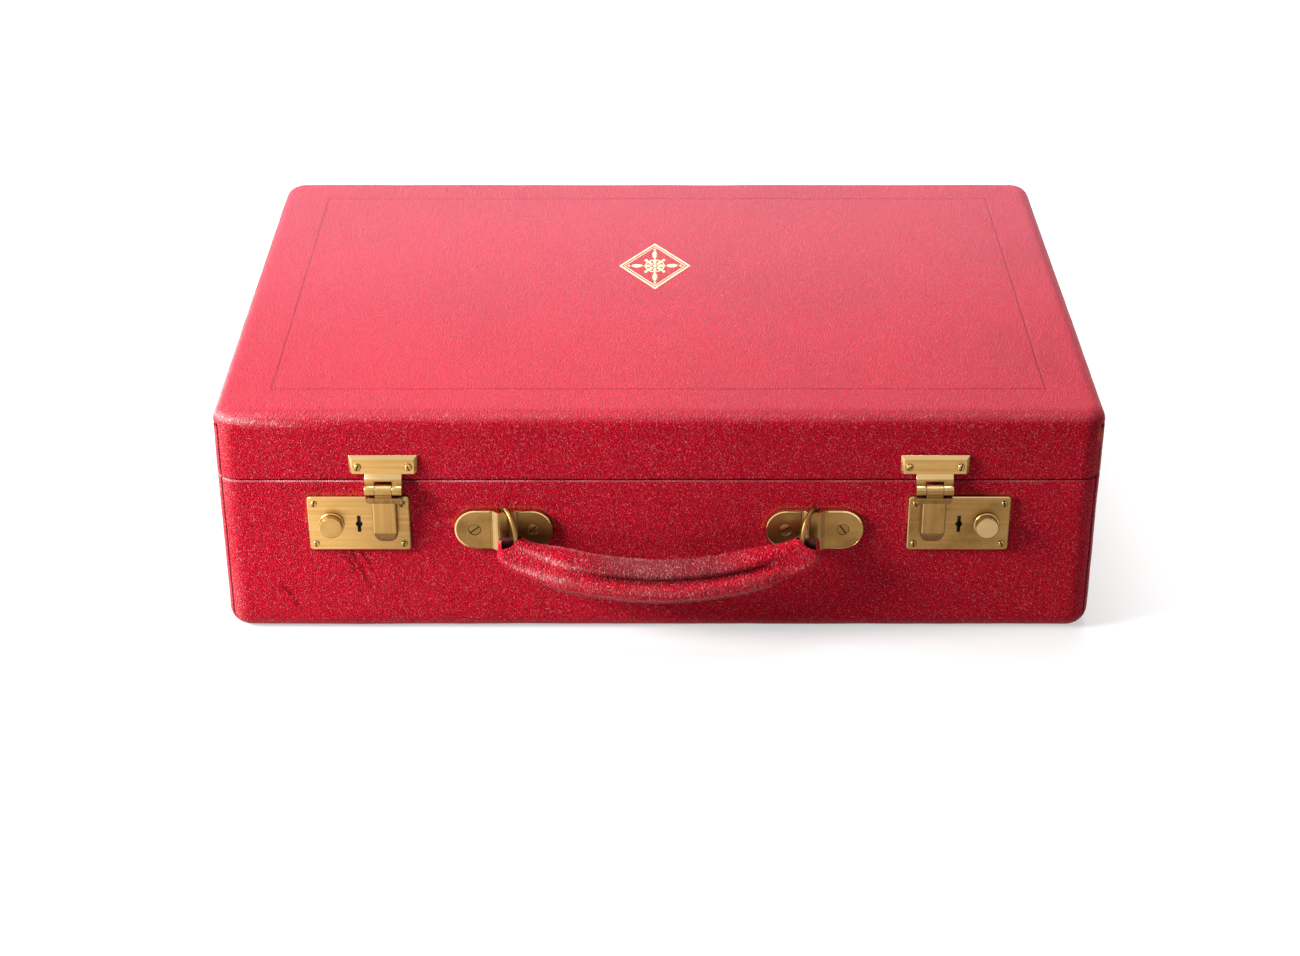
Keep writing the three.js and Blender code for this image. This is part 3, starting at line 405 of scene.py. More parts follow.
def sweep_face(bm, profile, face, spread):
    """Sweeps an upright profile round one corner, along a face and round the next corner."""
    s = sizes()
    facing = FACE_ANGLES[face]
    out, along = direction(facing), direction(facing + 90)
    centre = Vector((HALF_WIDTH - s.corner, HALF_DEPTH - s.corner, 0))
    reach = abs(along.x) * centre.x + abs(along.y) * centre.y
    depth = abs(out.x) * centre.x + abs(out.y) * centre.y
    start, end = out * depth - along * reach, out * depth + along * reach
    near_seam = [1.5, 3.0]
    turns = near_seam + [(spread - sum(near_seam)) / 5] * 5
    geom = open_profile(bm, profile, start, facing - spread)
    for part in turns:
        geom = bmesh.ops.spin(
            bm, geom=geom, cent=start, axis=UP, angle=math.radians(part), steps=1
        )["geom_last"]
    steps = round(2 * reach / s.step)
    geom = bmesh.ops.spin(
        bm, geom=geom, cent=start, axis=UP, angle=0, dvec=along * (2 * reach / steps), steps=steps
    )["geom_last"]
    for part in reversed(turns):
        geom = bmesh.ops.spin(
            bm, geom=geom, cent=end, axis=UP, angle=math.radians(part), steps=1
        )["geom_last"]
    return steps


def arc(centre_r, centre_z, radius, first, last, steps):
    """Points of a profile round a fold, from the first to the last angle in degrees."""
    return [
        (
            centre_r + radius * math.cos(math.radians(first + (last - first) * i / steps)),
            centre_z + radius * math.sin(math.radians(first + (last - first) * i / steps)),
        )
        for i in range(steps + 1)
    ]


def rows(low, high, radius):
    """Points up a wall, between two heights."""
    count = max(round((high - low) / sizes().step), 1)
    return [(radius, low + (high - low) * i / count) for i in range(1, count)]


def base_profile():
    """The base's leather from under its foot to its turned-over rim."""
    s = sizes()
    top, inner = BASE_HIGH.z, s.corner - s.turn_over
    return (
        arc(s.corner - s.foot, s.foot, s.foot, -90, 0, 8)
        + rows(s.foot, top - s.rim_round, s.corner)
        + arc(s.corner - s.rim_round, top - s.rim_round, s.rim_round, 0, 90, 4)
        + [(inner + (s.corner - inner) / 2, top), (inner, top)]
    )


def lid_lower_profile(high):
    """The lid's leather from its turned-over rim up to a height."""
    s = sizes()
    low, inner = LID_LOW.z, s.corner - s.turn_over
    return (
        [(inner, low), (inner + (s.corner - inner) / 2, low)]
        + arc(s.corner - s.rim_round, low + s.rim_round, s.rim_round, -90, 0, 4)
        + rows(low + s.rim_round, high, s.corner)
    )


def lid_upper_profile():
    """The lid's leather round its shoulder and in to a corner's centre."""
    s = sizes()
    top = LID_HIGH.z
    inward = s.corner - s.shoulder
    return arc(inward, top - s.shoulder, s.shoulder, 0, 90, 8) + [(inward / 2, top), (0, top)]


def seam_distance(point):
    """Distance of a point at a corner from that corner's upright seam, in metres."""
    s = sizes()
    x = abs(point.x) - (HALF_WIDTH - s.corner)
    y = abs(point.y) - (HALF_DEPTH - s.corner)
    if x < 0 or y < 0:
        return s.corner
    return abs(math.atan2(x, y) - s.seam) * s.corner


# Creases in the front of the base: ends as (x, z) in mm, half width and depth in mm
CREASES = [
    ((-163.5, 48.5), (-157.5, 36.0), 1.3, 0.65),
    ((-160.0, 50.0), (-151.5, 29.5), 1.3, 0.80),
    ((-155.5, 50.5), (-149.0, 38.0), 1.1, 0.65),
    ((-196.5, 28.5), (-189.5, 15.0), 1.3, 0.60),
    ((-176.0, 90.0), (-173.0, 83.5), 1.0, 0.35),
    ((-172.0, 90.0), (-170.5, 84.0), 0.9, 0.25),
    ((-110.0, 18.5), (-70.0, 29.0), 0.9, 0.18),
]
CREASE_FADE = 0.3  # how far a crease runs out past its ends, as a share of its length

# Corners of the plates on the front, and how far their corners are rounded
PLATES = [(*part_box(f"lock_plate_{side}"), 0.0015) for side in SIDES]
PLATES += [(*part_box(f"handle_plate_{side}"), 0.0113) for side in SIDES]

# Worn places with painted highlights, dark seams with dirt and painted shade, painted shade in
# creases, painted highlight on the base's rim, torn edges, and how level the leather lies
LEATHER_MASKS = ("rub", "seam", "fold", "rim", "raw", "lying")


def crease_depth(point):
    """Depth of the creases at a point on the front of the base."""
    if point.y > -HALF_DEPTH + MM:
        return 0.0
    total = 0.0
    for (x0, z0), (x1, z1), width, depth in CREASES:
        start, end = Vector((x0, z0)) * MM, Vector((x1, z1)) * MM
        line = end - start
        here = Vector((point.x, point.z)) - start
        share = here.dot(line) / line.length_squared
        if not -CREASE_FADE < share < 1 + CREASE_FADE:
            continue
        wander = noise.noise(Vector((share * 2.2, x0, z0))) * 0.7 * width * MM
        off = (here.x * line.y - here.y * line.x) / line.length + wander
        fade = smooth(share, -CREASE_FADE, 0.2) * (1 - smooth(share, 0.7, 1 + CREASE_FADE))
        total += depth * MM * fade * math.exp(-((off / (width * MM)) ** 2))
    return total


def plate_distance(point):
    """Distance from the nearest lock or handle plate, and whether the point lies above it."""
    best, above = 1.0, False
    for low, high, corner in PLATES:
        middle, half = (low + high) / 2, (high - low) / 2
        x = max(abs(point.x - middle.x) - half.x + corner, 0)
        z = max(abs(point.z - middle.z) - half.z + corner, 0)
        away = math.hypot(x, z) - corner
        if away < best:
            best, above = away, point.z > middle.z
    return best, above


def swell(point):
    """Slow unevenness of the leather."""
    s = sizes()
    slow = noise.noise(point * 22)
    fast = noise.noise(point * 75 + Vector((5, 3, 1)))
    return s.swell * (0.8 * slow + 0.35 * fast)


def refine_front(bm):
    """Closer rows of faces where the creases run and round the plates."""
    margin, round_plates = 5 * MM, 3 * MM

    def near(point):
        if point.y > -HALF_DEPTH + MM:
            return False
        if abs(plate_distance(point)[0]) < round_plates:
            return True
        return any(
            min(a[0], b[0]) * MM - margin < point.x < max(a[0], b[0]) * MM + margin
            and min(a[1], b[1]) * MM - margin < point.z < max(a[1], b[1]) * MM + margin
            for a, b, _, _ in CREASES
        )

    edges = [e for e in bm.edges if all(near(v.co) for v in e.verts)]
    bmesh.ops.subdivide_edges(bm, edges=edges, cuts=3, use_grid_fill=True)


def point_outwards(bm):
    """Turns an open panel's faces to look away from the middle of the case."""
    bmesh.ops.recalc_face_normals(bm, faces=bm.faces)
    middle = Vector((0, 0, LID_LOW.z))
    inward = sum(1 for f in bm.faces if f.normal.dot(f.calc_center_median() - middle) < 0)
    if inward > len(bm.faces) / 2:
        bmesh.ops.reverse_faces(bm, faces=bm.faces)


def rubbing_and_highlight(p):
    """How worn the leather is at a point from hands and tables, and where a painted highlight lies:
    more at the left end, and in a line along the lid's front shoulder.
    """
    edge_in = min(HALF_WIDTH - abs(p.x), HALF_DEPTH - abs(p.y))
    off_shoulder = abs(edge_in - (LID_HIGH.z - p.z))
    shoulder = 1 - smooth(off_shoulder, 0.5 * MM, 4.5 * MM)
    foot = 1 - smooth(p.z, 2 * MM, 9 * MM)
    round_corner = min(abs(p.x) - HALF_WIDTH, abs(p.y) - HALF_DEPTH) + sizes().corner
    corner = smooth(round_corner, 0.5 * MM, 6 * MM)
    # The left end gets more, as painted highlight.
    left_end = 1 - smooth(p.x, -222 * MM, -165 * MM) if p.y < 0 else 0
    handled = 0.35 * (1 - smooth(p.x, -220 * MM, -120 * MM)) * corner
    worn = min(1.0, max((0.22 + 0.4 * left_end) * shoulder, 0.35 * foot, handled))
    # A painted highlight in a wavy line along the lid's front shoulder, at the left end.
    if p.y < 0 and p.z > LID_LOW.z:
        line = 3.5 * MM + 2.2 * MM * smooth(p.x, -225 * MM, -195 * MM)
        wave = 0.9 * MM * noise.noise(Vector((p.x * 90, 3, 1)))
        off_line = LID_HIGH.z - p.z - line + wave
        worn = max(worn, 2.4 * left_end * math.exp(-((off_line / (1.3 * MM)) ** 2)))
    return worn


def seam_tear(p):
    """The leather torn along the lid's seam at the front right corner, widest near the top."""
    if not (p.x > 0 > p.y and LID_LOW.z < p.z < LID_HIGH.z - sizes().shoulder):
        return 0.0
    width = (0.3 + 0.9 * math.exp(-(((p.z - 115.5 * MM) / (4 * MM)) ** 2))) * MM
    ragged = seam_distance(p) + 0.3 * MM * noise.noise(p * 300)
    return 1 - smooth(ragged, width, width + 0.3 * MM)


def plate_marks(p):
    """The torn leather above the plates on the front, and the dirty ring with painted contact shade
    round them.
    """
    if p.y >= MM - HALF_DEPTH or p.z >= BASE_HIGH.z:
        return 0.0, 0.0
    away, above = plate_distance(p)
    ragged = away + 0.35 * MM * noise.noise(p * 420)
    grime = 0.7 * (1 - smooth(ragged, 0.2 * MM, 1.1 * MM))
    if above and away > -0.3 * MM:
        return 0.30 * (1 - smooth(ragged, 0.8 * MM, 1.9 * MM)), grime
    return 0.0, grime


def painted_rim_highlight(p):
    """Painted highlight along the base's rim, in patches, strongest at the left."""
    below = BASE_HIGH.z + 0.1 * MM - p.z
    if below <= 0:
        return 0.0
    patches = smooth(noise.noise(Vector((p.x * 45, p.y * 45, 2))), -0.3, 0.3)
    share = 0.25 + 0.75 * (1 - smooth(p.x, -200 * MM, 20 * MM))
    return share * (0.35 + 0.65 * patches) * (1 - smooth(below, 0.4 * MM, 1.0 * MM))


def dress_leather(bm, seam_top):
    """Gives a panel its unevenness, rolled seam edges and the masks its material reads."""
    for name in LEATHER_MASKS:
        bm.verts.layers.float.new(name)
    rub, seam, fold, rim, raw, lying = (bm.verts.layers.float[name] for name in LEATHER_MASKS)
    bm.normal_update()
    moves = []
    for v in bm.verts:
        p = v.co
        # Dark at the upright seams: dirt and painted shade.
        near_seam = 1 - smooth(seam_distance(p), 0.2 * MM, 0.9 * MM) if p.z < seam_top else 0.0
        above_rim = p.z - LID_LOW.z
        # Painted shade along the lid's lower rim, where the gap to the base is.
        gap = 1 - smooth(above_rim, 0.6 * MM, 0.9 * MM) if above_rim > -0.1 * MM else 0.0
        crease = crease_depth(p)
        torn, grime = plate_marks(p)
        v[rub] = rubbing_and_highlight(p)
        v[raw] = max(torn, seam_tear(p))
        # Painted highlight on the base's rim.
        v[rim] = painted_rim_highlight(p)
        v[seam] = max(near_seam, gap, grime)
        v[lying] = smooth(v.normal.z, 0.3, 0.8)
        # Painted shade in the creases.
        v[fold] = min(0.6, crease / (1.2 * MM))
        moves.append((v, v.normal * (swell(p) - crease - 0.4 * MM * near_seam)))
    for v, move in moves:
        v.co += move
        v.co.z = max(v.co.z, 0.0)


def open_window(bm, low, high):
    """Takes the leather away inside a box, with clean edges."""

    def reaches(face, i):
        places = [v.co[i] for v in face.verts]
        return min(places) < high[i] and max(places) > low[i]

    for axis in range(3):
        for corner in (low, high):
            near = [f for f in bm.faces if all(reaches(f, i) for i in range(3))]
            slice_faces(bm, near, corner, axis)
    inside = [
        f for f in bm.faces
        if all(low[i] < f.calc_center_median()[i] < high[i] for i in range(3))
    ]
    bmesh.ops.delete(bm, geom=inside, context="FACES")


def open_hinge_notches(bm):
    """Room for the hinge leaves in a rim's leather."""
    leaf, deep = 1.7 * MM, 30 * MM
    for side in SIDES:
        low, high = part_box(f"hinge_base_leaf_{side}")
        gap = Vector((0.3 * MM, 0, 0))
        low = Vector((low.x, HALF_DEPTH - deep, BASE_HIGH.z - leaf)) - gap
        high = Vector((high.x, HALF_DEPTH + MM, LID_LOW.z + leaf)) + gap
        open_window(bm, low, high)


def leather_piece(name, bm, body, part):
    """A piece of red leather, as thick as real leather, that stands for a CAD node."""
    thicken(make_piece(name, bm, body, ["red_leather"], [part], 60), sizes().leather)


# Node materials


def node(tree, kind, inputs=(), **settings):
    """Adds a node; inputs are {socket: value or output socket}."""
    made = tree.nodes.new(kind)
    for key, value in settings.items():
        setattr(made, key, value)
    for key, value in dict(inputs).items():
        if isinstance(value, bpy.types.NodeSocket):
            tree.links.new(value, made.inputs[key])
        else:
            made.inputs[key].default_value = value
    return made


def math_node(tree, operation, *values, clamp=False):
    return node(
        tree, "ShaderNodeMath", dict(enumerate(values)), operation=operation, use_clamp=clamp
    ).outputs[0]


def times(tree, value, factor, *plus, clamp=False):
    """A value times a factor, and plus a third value if there is one."""
    operation = "MULTIPLY_ADD" if plus else "MULTIPLY"
    return math_node(tree, operation, value, factor, *plus, clamp=clamp)


def vector_node(tree, operation, *values):
    return node(
        tree, "ShaderNodeVectorMath", dict(enumerate(values)), operation=operation
    ).outputs[0]


def ramp(tree, value, low, high, to_low=0.0, to_high=1.0):
    return node(
        tree, "ShaderNodeMapRange",
        {"Value": value, "From Min": low, "From Max": high, "To Min": to_low, "To Max": to_high},
        interpolation_type="SMOOTHSTEP",
    ).outputs["Result"]


def blend(tree, factor, *tints):
    """Mixes two tints, each an output socket or a plain colour."""
    first, second = (t if isinstance(t, bpy.types.NodeSocket) else (*t, 1.0) for t in tints)
    return node(
        tree, "ShaderNodeMix", {0: factor, 6: first, 7: second}, data_type="RGBA"
    ).outputs[2]


def speckle(tree, vector, scale, detail, **more):
    """The value of a noise texture."""
    inputs = {"Vector": vector, "Scale": scale, "Detail": detail, **more}
    return node(tree, "ShaderNodeTexNoise", inputs).outputs["Fac"]


def attribute(tree, name):
    return node(tree, "ShaderNodeAttribute", attribute_name=name).outputs["Fac"]


def seen(tree):
    """1 for rays from the camera and from reflections, 0 for those that light things."""
    path = node(tree, "ShaderNodeLightPath").outputs
    return math_node(tree, "MAXIMUM", path["Is Camera Ray"], path["Is Glossy Ray"])


def new_group(name, inputs):
    """A shader node group with a vector and further inputs, {name: default}."""
    group = bpy.data.node_groups.new(name, "ShaderNodeTree")
    for key, value in {"Vector": (0, 0, 0), **inputs}.items():
        kind = "NodeSocketFloat" if isinstance(value, float) else "NodeSocketVector"
        group.interface.new_socket(key, in_out="INPUT", socket_type=kind).default_value = value
    return group, group.nodes.new("NodeGroupInput").outputs


def end_group(group, results):
    """Gives a node group its outputs: {name: output socket}."""
    for key in results:
        group.interface.new_socket(key, in_out="OUTPUT", socket_type="NodeSocketFloat")
    node(group, "NodeGroupOutput", results)


def place_group(tree, group, inputs):
    group = bpy.data.node_groups[group]
    return node(tree, "ShaderNodeGroup", inputs, node_tree=group).outputs


def blotches(tree, vector, scale, low=0.4, high=0.65):
    inputs = {"Vector": vector, "Scale": scale, "Low": low, "High": high}
    return place_group(tree, "Blotches", inputs)["Mask"]


def grain_group():
    """Pebbled grain: raised cells of leather with fine creases between them."""
    group, given = new_group("Leather Grain", {"Cells": 600.0, "Warp": 0.6})
    vector, cells = given["Vector"], given["Cells"]
    crease_width = 0.25

    def share(part):
        return times(group, cells, part)

    bend = node(group, "ShaderNodeTexNoise", {"Vector": vector, "Scale": share(0.5), "Detail": 2.0})
    centred = vector_node(group, "SUBTRACT", bend.outputs["Color"], (0.5, 0.5, 0.5))
    size = math_node(group, "DIVIDE", given["Warp"], cells)
    moved = node(group, "ShaderNodeVectorMath", {0: centred, "Scale": size}, operation="SCALE")
    edges = node(
        group, "ShaderNodeTexVoronoi",
        {"Vector": vector_node(group, "ADD", vector, moved.outputs[0]), "Scale": cells},
        feature="DISTANCE_TO_EDGE",
    ).outputs["Distance"]
    crease = ramp(group, edges, 0.0, crease_width, 1.0, 0.0)
    fleck = speckle(group, vector, share(2.2), 2.0)
    height = times(group, crease, -0.7, 0.7)
    height = times(group, fleck, 0.25, height)
    slow = speckle(group, vector, share(0.3), 2.0)
    height = times(group, slow, 0.5, height)
    # Lines on the cells' tips, where painted glints go.
    worm = speckle(group, vector, share(0.75), 0.0)
    off_line = math_node(group, "ABSOLUTE", math_node(group, "SUBTRACT", worm, 0.5))
    line = ramp(group, off_line, 0.015, 0.05, 1.0, 0.0)
    tip = times(group, line, ramp(group, fleck, 0.46, 0.58))
    end_group(group, {"Height": height, "Crease": crease, "Fleck": fleck, "Tip": tip})


def blotch_group():
    """Broad, soft patches from 0 to 1."""
    group, given = new_group("Blotches", {"Scale": 12.0, "Low": 0.4, "High": 0.65})
    cloud = speckle(group, given["Vector"], given["Scale"], 5.0, Roughness=0.6)
    end_group(group, {"Mask": ramp(group, cloud, given["Low"], given["High"])})


def brushing_group():
    """Fine parallel scratches along one axis, chosen by the stretch of the vector."""
    group, given = new_group("Brushing", {"Stretch": (60.0, 60.0, 2500.0)})
    stretched = vector_node(group, "MULTIPLY", given["Vector"], given["Stretch"])
    fine = speckle(group, stretched, 1.0, 3.0)
    broad = speckle(group, stretched, 0.22, 2.0)
    end_group(group, {"Height": fine, "Streak": broad})


def new_material(name, **constants):
    """A node material: its tree, its Principled BSDF with plain values, and Object coordinates."""
    material = bpy.data.materials.new(name)
    material.use_nodes = True
    tree = material.node_tree
    shader = tree.nodes["Principled BSDF"]
    for key, value in constants.items():
        shader.inputs[key.replace("_", " ").title().replace("Ior", "IOR")].default_value = value
    return tree, shader, node(tree, "ShaderNodeTexCoord").outputs["Object"]


def give_surface(tree, shader, tint, rough, height=None, relief=0.0):
    """Links a shader's colour and roughness, and a height that is relief metres deep."""
    tree.links.new(tint, shader.inputs["Base Color"])
    tree.links.new(rough, shader.inputs["Roughness"])
    if height is not None:
        bump = node(
            tree, "ShaderNodeBump", {"Height": height, "Strength": 1.0, "Distance": relief}
        )
        tree.links.new(bump.outputs["Normal"], shader.inputs["Normal"])


def leather_material(
    name, cells, highlight, glints, wear_and_highlight, warp, stretch=(1, 1, 1), polish=0.0
):
    """Grained red leather with blotches, worn edges and dirty seams, and painted shade, highlights,
    glints and sheen.
    """
    leather = look()
    relief = 0.0006
    tree, shader, coords = new_material(name, specular_ior_level=highlight)
    stretched = vector_node(tree, "MULTIPLY", coords, stretch)
    grain = place_group(
        tree, "Leather Grain", {"Vector": stretched, "Cells": cells, "Warp": warp}
    )
    patch = blotches(tree, coords, 9.0, 0.35, 0.7)
    scuff = blotches(tree, coords, 38.0, 0.35, 0.62)
    rub, seam, fold, rim, raw, lying, soiled = (
        attribute(tree, key) for key in (*LEATHER_MASKS, "soiled")
    )
    tint = blend(tree, times(tree, patch, 0.35), leather.red, leather.deep)
    # Grain creases, and painted shade where the fold mask marks a crease or the handle's groove;
    # the tooled lines take it as their own darker colour.
    dark = times(tree, grain["Crease"], 0.85)
    dark = times(tree, fold, 0.8, dark)
    tint = blend(tree, dark, tint, leather.deep)
    # Dirty where hands hold the handle, and painted shade under it.
    tint = blend(tree, times(tree, soiled, 0.8), tint, leather.soil_and_shade)
    # Painted glints on the grain, fewer where the leather lies level.
    standing = times(tree, lying, -0.65 * glints, glints)
    tint = blend(tree, times(tree, grain["Tip"], standing), tint, leather.rubbed_and_highlight)
    # Worn places and painted highlights, flecked by the painted glints, and the painted highlight
    # on the base's rim.
    patchy = times(tree, scuff, 0.7, 0.3)
    flecked = times(tree, grain["Tip"], 0.8 * wear_and_highlight, 0.2 * wear_and_highlight)
    worn = times(tree, times(tree, rub, patchy), flecked)
    worn = times(tree, rim, 0.6, worn, clamp=True)
    tint = blend(tree, worn, tint, leather.rubbed_and_highlight)
    # Painted sheen, paler towards the back of level faces.
    back = node(tree, "ShaderNodeSeparateXYZ", {0: coords}).outputs["Y"]
    painted_sheen = times(tree, lying, ramp(tree, back, -0.14, 0.16, 0.14, 0.34))
    tint = blend(tree, painted_sheen, tint, leather.painted_sheen)
    # Dirty seams, with painted shade along the gaps, round the plates and in the handle's groove.
    tint = blend(tree, seam, tint, leather.dirt_and_shade)
    tint = blend(tree, raw, tint, leather.raw)
    level = leather.roughness + polish
    rough = ramp(tree, grain["Fleck"], 0.3, 0.7, level - 0.06, level + 0.08)
    rough = times(tree, worn, -0.18, rough)
    give_surface(tree, shader, tint, rough, grain["Height"], relief)


def brass_material(name, stretch, inner=0.0):
    """Brushed brass in tarnished patches, with painted shade towards the right, on faces that look
    down or to the right and, as much as inner, near the grip, and painted highlights on polished
    edges and on faces that look up or to the left.
    """
    brass = bpy.context.scene.despatch_brass
    tree, shader, coords = new_material(name, metallic=1.0)
    brushing = place_group(tree, "Brushing", {"Vector": coords, "Stretch": stretch})
    patch = blotches(tree, coords, 55.0, 0.42, 0.75)
    hidden, edge = attribute(tree, "hidden"), attribute(tree, "edge")
    streak = ramp(tree, brushing["Streak"], 0.35, 0.65)
    place = node(tree, "ShaderNodeSeparateXYZ", {0: coords}).outputs
    # Painted shade that grows towards the right, less on the mounts high on the lid.
    right_shade = ramp(tree, place["X"], -0.19, -0.10, 0.0, 0.85)
    right_shade = times(tree, right_shade, ramp(tree, place["Z"], 0.090, 0.098, 1.0, 0.35))
    # Painted shade on the handle plates' halves nearest the grip.
    grip_shade = ramp(tree, math_node(tree, "ABSOLUTE", place["X"]), 0.060, 0.086, inner, 0.0)
    # The painted shade towards the right, varied in tarnished patches.
    shade_and_tarnish = times(tree, right_shade, times(tree, patch, 0.3, 0.8))
    tint = blend(tree, shade_and_tarnish, brass.brass, brass.tarnish_and_shade)
    # Painted shade on faces that look down or to the right, and darker brushing streaks.
    dull = times(tree, streak, 0.2, times(tree, hidden, 0.68))
    dull = math_node(tree, "MAXIMUM", dull, grip_shade)
    tint = blend(tree, dull, tint, brass.tarnish_and_shade)
    # Polished edges, and painted highlights.
    tint = blend(tree, times(tree, edge, 0.6), tint, brass.worn)
    level = brass.roughness
    rough = ramp(tree, brushing["Streak"], 0.3, 0.7, level - 0.06, level + 0.08)
    rough = times(tree, edge, -0.14, rough)
    relief = 0.00004
    give_surface(tree, shader, tint, rough, brushing["Height"], relief)


def blotched_material(name, scale, tints, rough, **constants):
    """A material that changes in soft patches from one tint and roughness to another."""
    tree, shader, coords = new_material(name, **constants)
    patch = blotches(tree, coords, scale)
    give_surface(tree, shader, blend(tree, patch, *tints), ramp(tree, patch, 0, 1, *rough))


def pine_material():
    """Planed pine: long streaks of grain with darker late wood."""
    tree, shader, coords = new_material("planed_pine", specular_ior_level=0.3)
    stretched = vector_node(tree, "MULTIPLY", coords, (6.0, 60.0, 60.0))
    rings = speckle(tree, stretched, 3.0, 6.0, Distortion=0.6)
    late = ramp(tree, math_node(tree, "FRACT", times(tree, rings, 9.0)), 0.5, 0.95)
    tint = blend(tree, late, (0.62, 0.42, 0.22), (0.42, 0.23, 0.09))
    give_surface(tree, shader, tint, ramp(tree, late, 0, 1, 0.72, 0.6), rings, 0.0002)


def lining_material():
    """Black satin: a fine weave that catches light along its threads."""
    tree, shader, coords = new_material("black_satin", sheen_weight=0.1, specular_ior_level=0.3)
    weave = node(
        tree, "ShaderNodeTexWave", {"Vector": coords, "Scale": 900.0, "Distortion": 0.4},
        bands_direction="DIAGONAL",
    ).outputs["Fac"]
    tint = blend(
        tree, blotches(tree, coords, 40.0), (0.009, 0.009, 0.011), (0.014, 0.014, 0.017)
    )
    give_surface(tree, shader, tint, ramp(tree, weave, 0, 1, 0.38, 0.55), weave, 0.00008)


def gold_material():
    """Gold leaf pressed into leather, worn through in flecks."""
    tree, shader, coords = new_material("gold_leaf", specular_ior_level=0.5)
    worn = blotches(tree, coords, 900.0, 0.55, 0.72)
    gold, red = bpy.context.scene.despatch_brass.gold, look().red
    tint = blend(tree, times(tree, worn, 0.5), gold, red)
    tree.links.new(ramp(tree, worn, 0, 1, 0.35, 0.0), shader.inputs["Metallic"])
    give_surface(tree, shader, tint, ramp(tree, worn, 0, 1, 0.38, 0.55), worn, -0.00005)


def grime_and_shade_material():
    """Old polish and grit in the screws' slots, dark enough to stand as painted shade there."""
    tree, shader, coords = new_material("grime", specular_ior_level=0.2)
    crumbs = speckle(tree, coords, 2500.0, 3.0)
    tint = blend(tree, crumbs, (0.012, 0.007, 0.003), (0.05, 0.028, 0.012))
    give_surface(tree, shader, tint, ramp(tree, crumbs, 0.3, 0.7, 0.7, 0.95))


def shaded_slot_material():
    """Dark leather inside the handle's slots: painted shade in the hollows."""
    tree, shader, coords = new_material("cut_leather", specular_ior_level=0.3)
    fibre = speckle(tree, coords, 1500.0, 4.0)
    tint = blend(tree, ramp(tree, fibre, 0.35, 0.65), look().dirt_and_shade, (0.16, 0.03, 0.025))
    give_surface(tree, shader, tint, ramp(tree, fibre, 0.3, 0.7, 0.7, 0.9), fibre, 0.0002)


class DESPATCH_OT_materials(bpy.types.Operator):
    """Make the leather, brass, wood, steel, lining and gold leaf"""

    bl_idname = "despatch.materials"
    bl_label = "Materials"

    def execute(self, context):
        grain = look().grain
        grain_group()
        blotch_group()
        brushing_group()
        leather_material("red_leather", grain, highlight=0.025, glints=0.30, wear_and_highlight=1.1, warp=0.9)
        leather_material(
            "grip_leather", grain * 0.75, highlight=0.05, glints=0.34, wear_and_highlight=1.4, warp=1.1,
            stretch=(1.3, 1, 0.7), polish=-0.08,
        )
        brass_material("brushed_brass", (60.0, 60.0, 2500.0))
        brass_material("upright_brass", (2500.0, 2500.0, 60.0))
        brass_material("turned_brass", (300.0, 300.0, 300.0))
        brass_material("satin_brass", (120.0, 120.0, 700.0), inner=0.8)
        oiled = (0.055, 0.052, 0.05), (0.10, 0.09, 0.08)
        blotched_material("dark_steel", 120.0, oiled, (0.35, 0.6), metallic=1.0)
        stain = (0.012, 0.010, 0.009), (0.03, 0.022, 0.016)
        blotched_material("stained_pine", 60.0, stain, (0.6, 0.8), specular_ior_level=0.2)
        pine_material()
        lining_material()
        gold_material()
        grime_and_shade_material()
        shaded_slot_material()
        return {"FINISHED"}


class DESPATCH_OT_base_leather(bpy.types.Operator):
    """Cover the base: a panel on each side and one underneath"""

    bl_idname = "despatch.base_leather"
    bl_label = "Base leather"

    def execute(self, context):
        s = sizes()
        seam = math.degrees(s.seam)
        beside = 90 - seam - math.degrees(s.seam_gap)
        for face in FACE_ANGLES:
            bm = bmesh.new()
            sweep_face(bm, base_profile(), face, seam if face in ("front", "back") else beside)
            if face == "front":
                refine_front(bm)
                out_past_leather = Vector((0, -6 * MM, 0))
                for side in SIDES:
                    low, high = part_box(f"lock_case_{side}")
                    open_window(bm, low + out_past_leather, high)
            if face == "back":
                open_hinge_notches(bm)
            point_outwards(bm)
            dress_leather(bm, BASE_HIGH.z + MM)
            leather_piece(f"base_cover_{face}", bm, "base", f"base_leather_{face}")
        self.underside()
        return {"FINISHED"}

    def underside(self):
        """A sheet of leather under the base, worn where it stands."""
        sunk, worn_border = 0.35 * MM, 50 * MM
        low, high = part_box("base_leather_bottom")
        middle, half = (low + high) / 2, (high - low) / 2
        bm = bmesh.new()
        for name in LEATHER_MASKS:
            bm.verts.layers.float.new(name)
        add_grid(bm, middle, half, low.z, 150, 100)
        bmesh.ops.reverse_faces(bm, faces=bm.faces)
        rub = bm.verts.layers.float["rub"]
        for v in bm.verts:
            edge = min(half.x - abs(v.co.x - middle.x), half.y - abs(v.co.y - middle.y))
            v.co.z += sunk + swell(v.co)
            v[rub] = 0.4 * (1 - smooth(edge, 0.0, worn_border))
        leather_piece("base_cover_bottom", bm, "base", "base_leather_bottom")


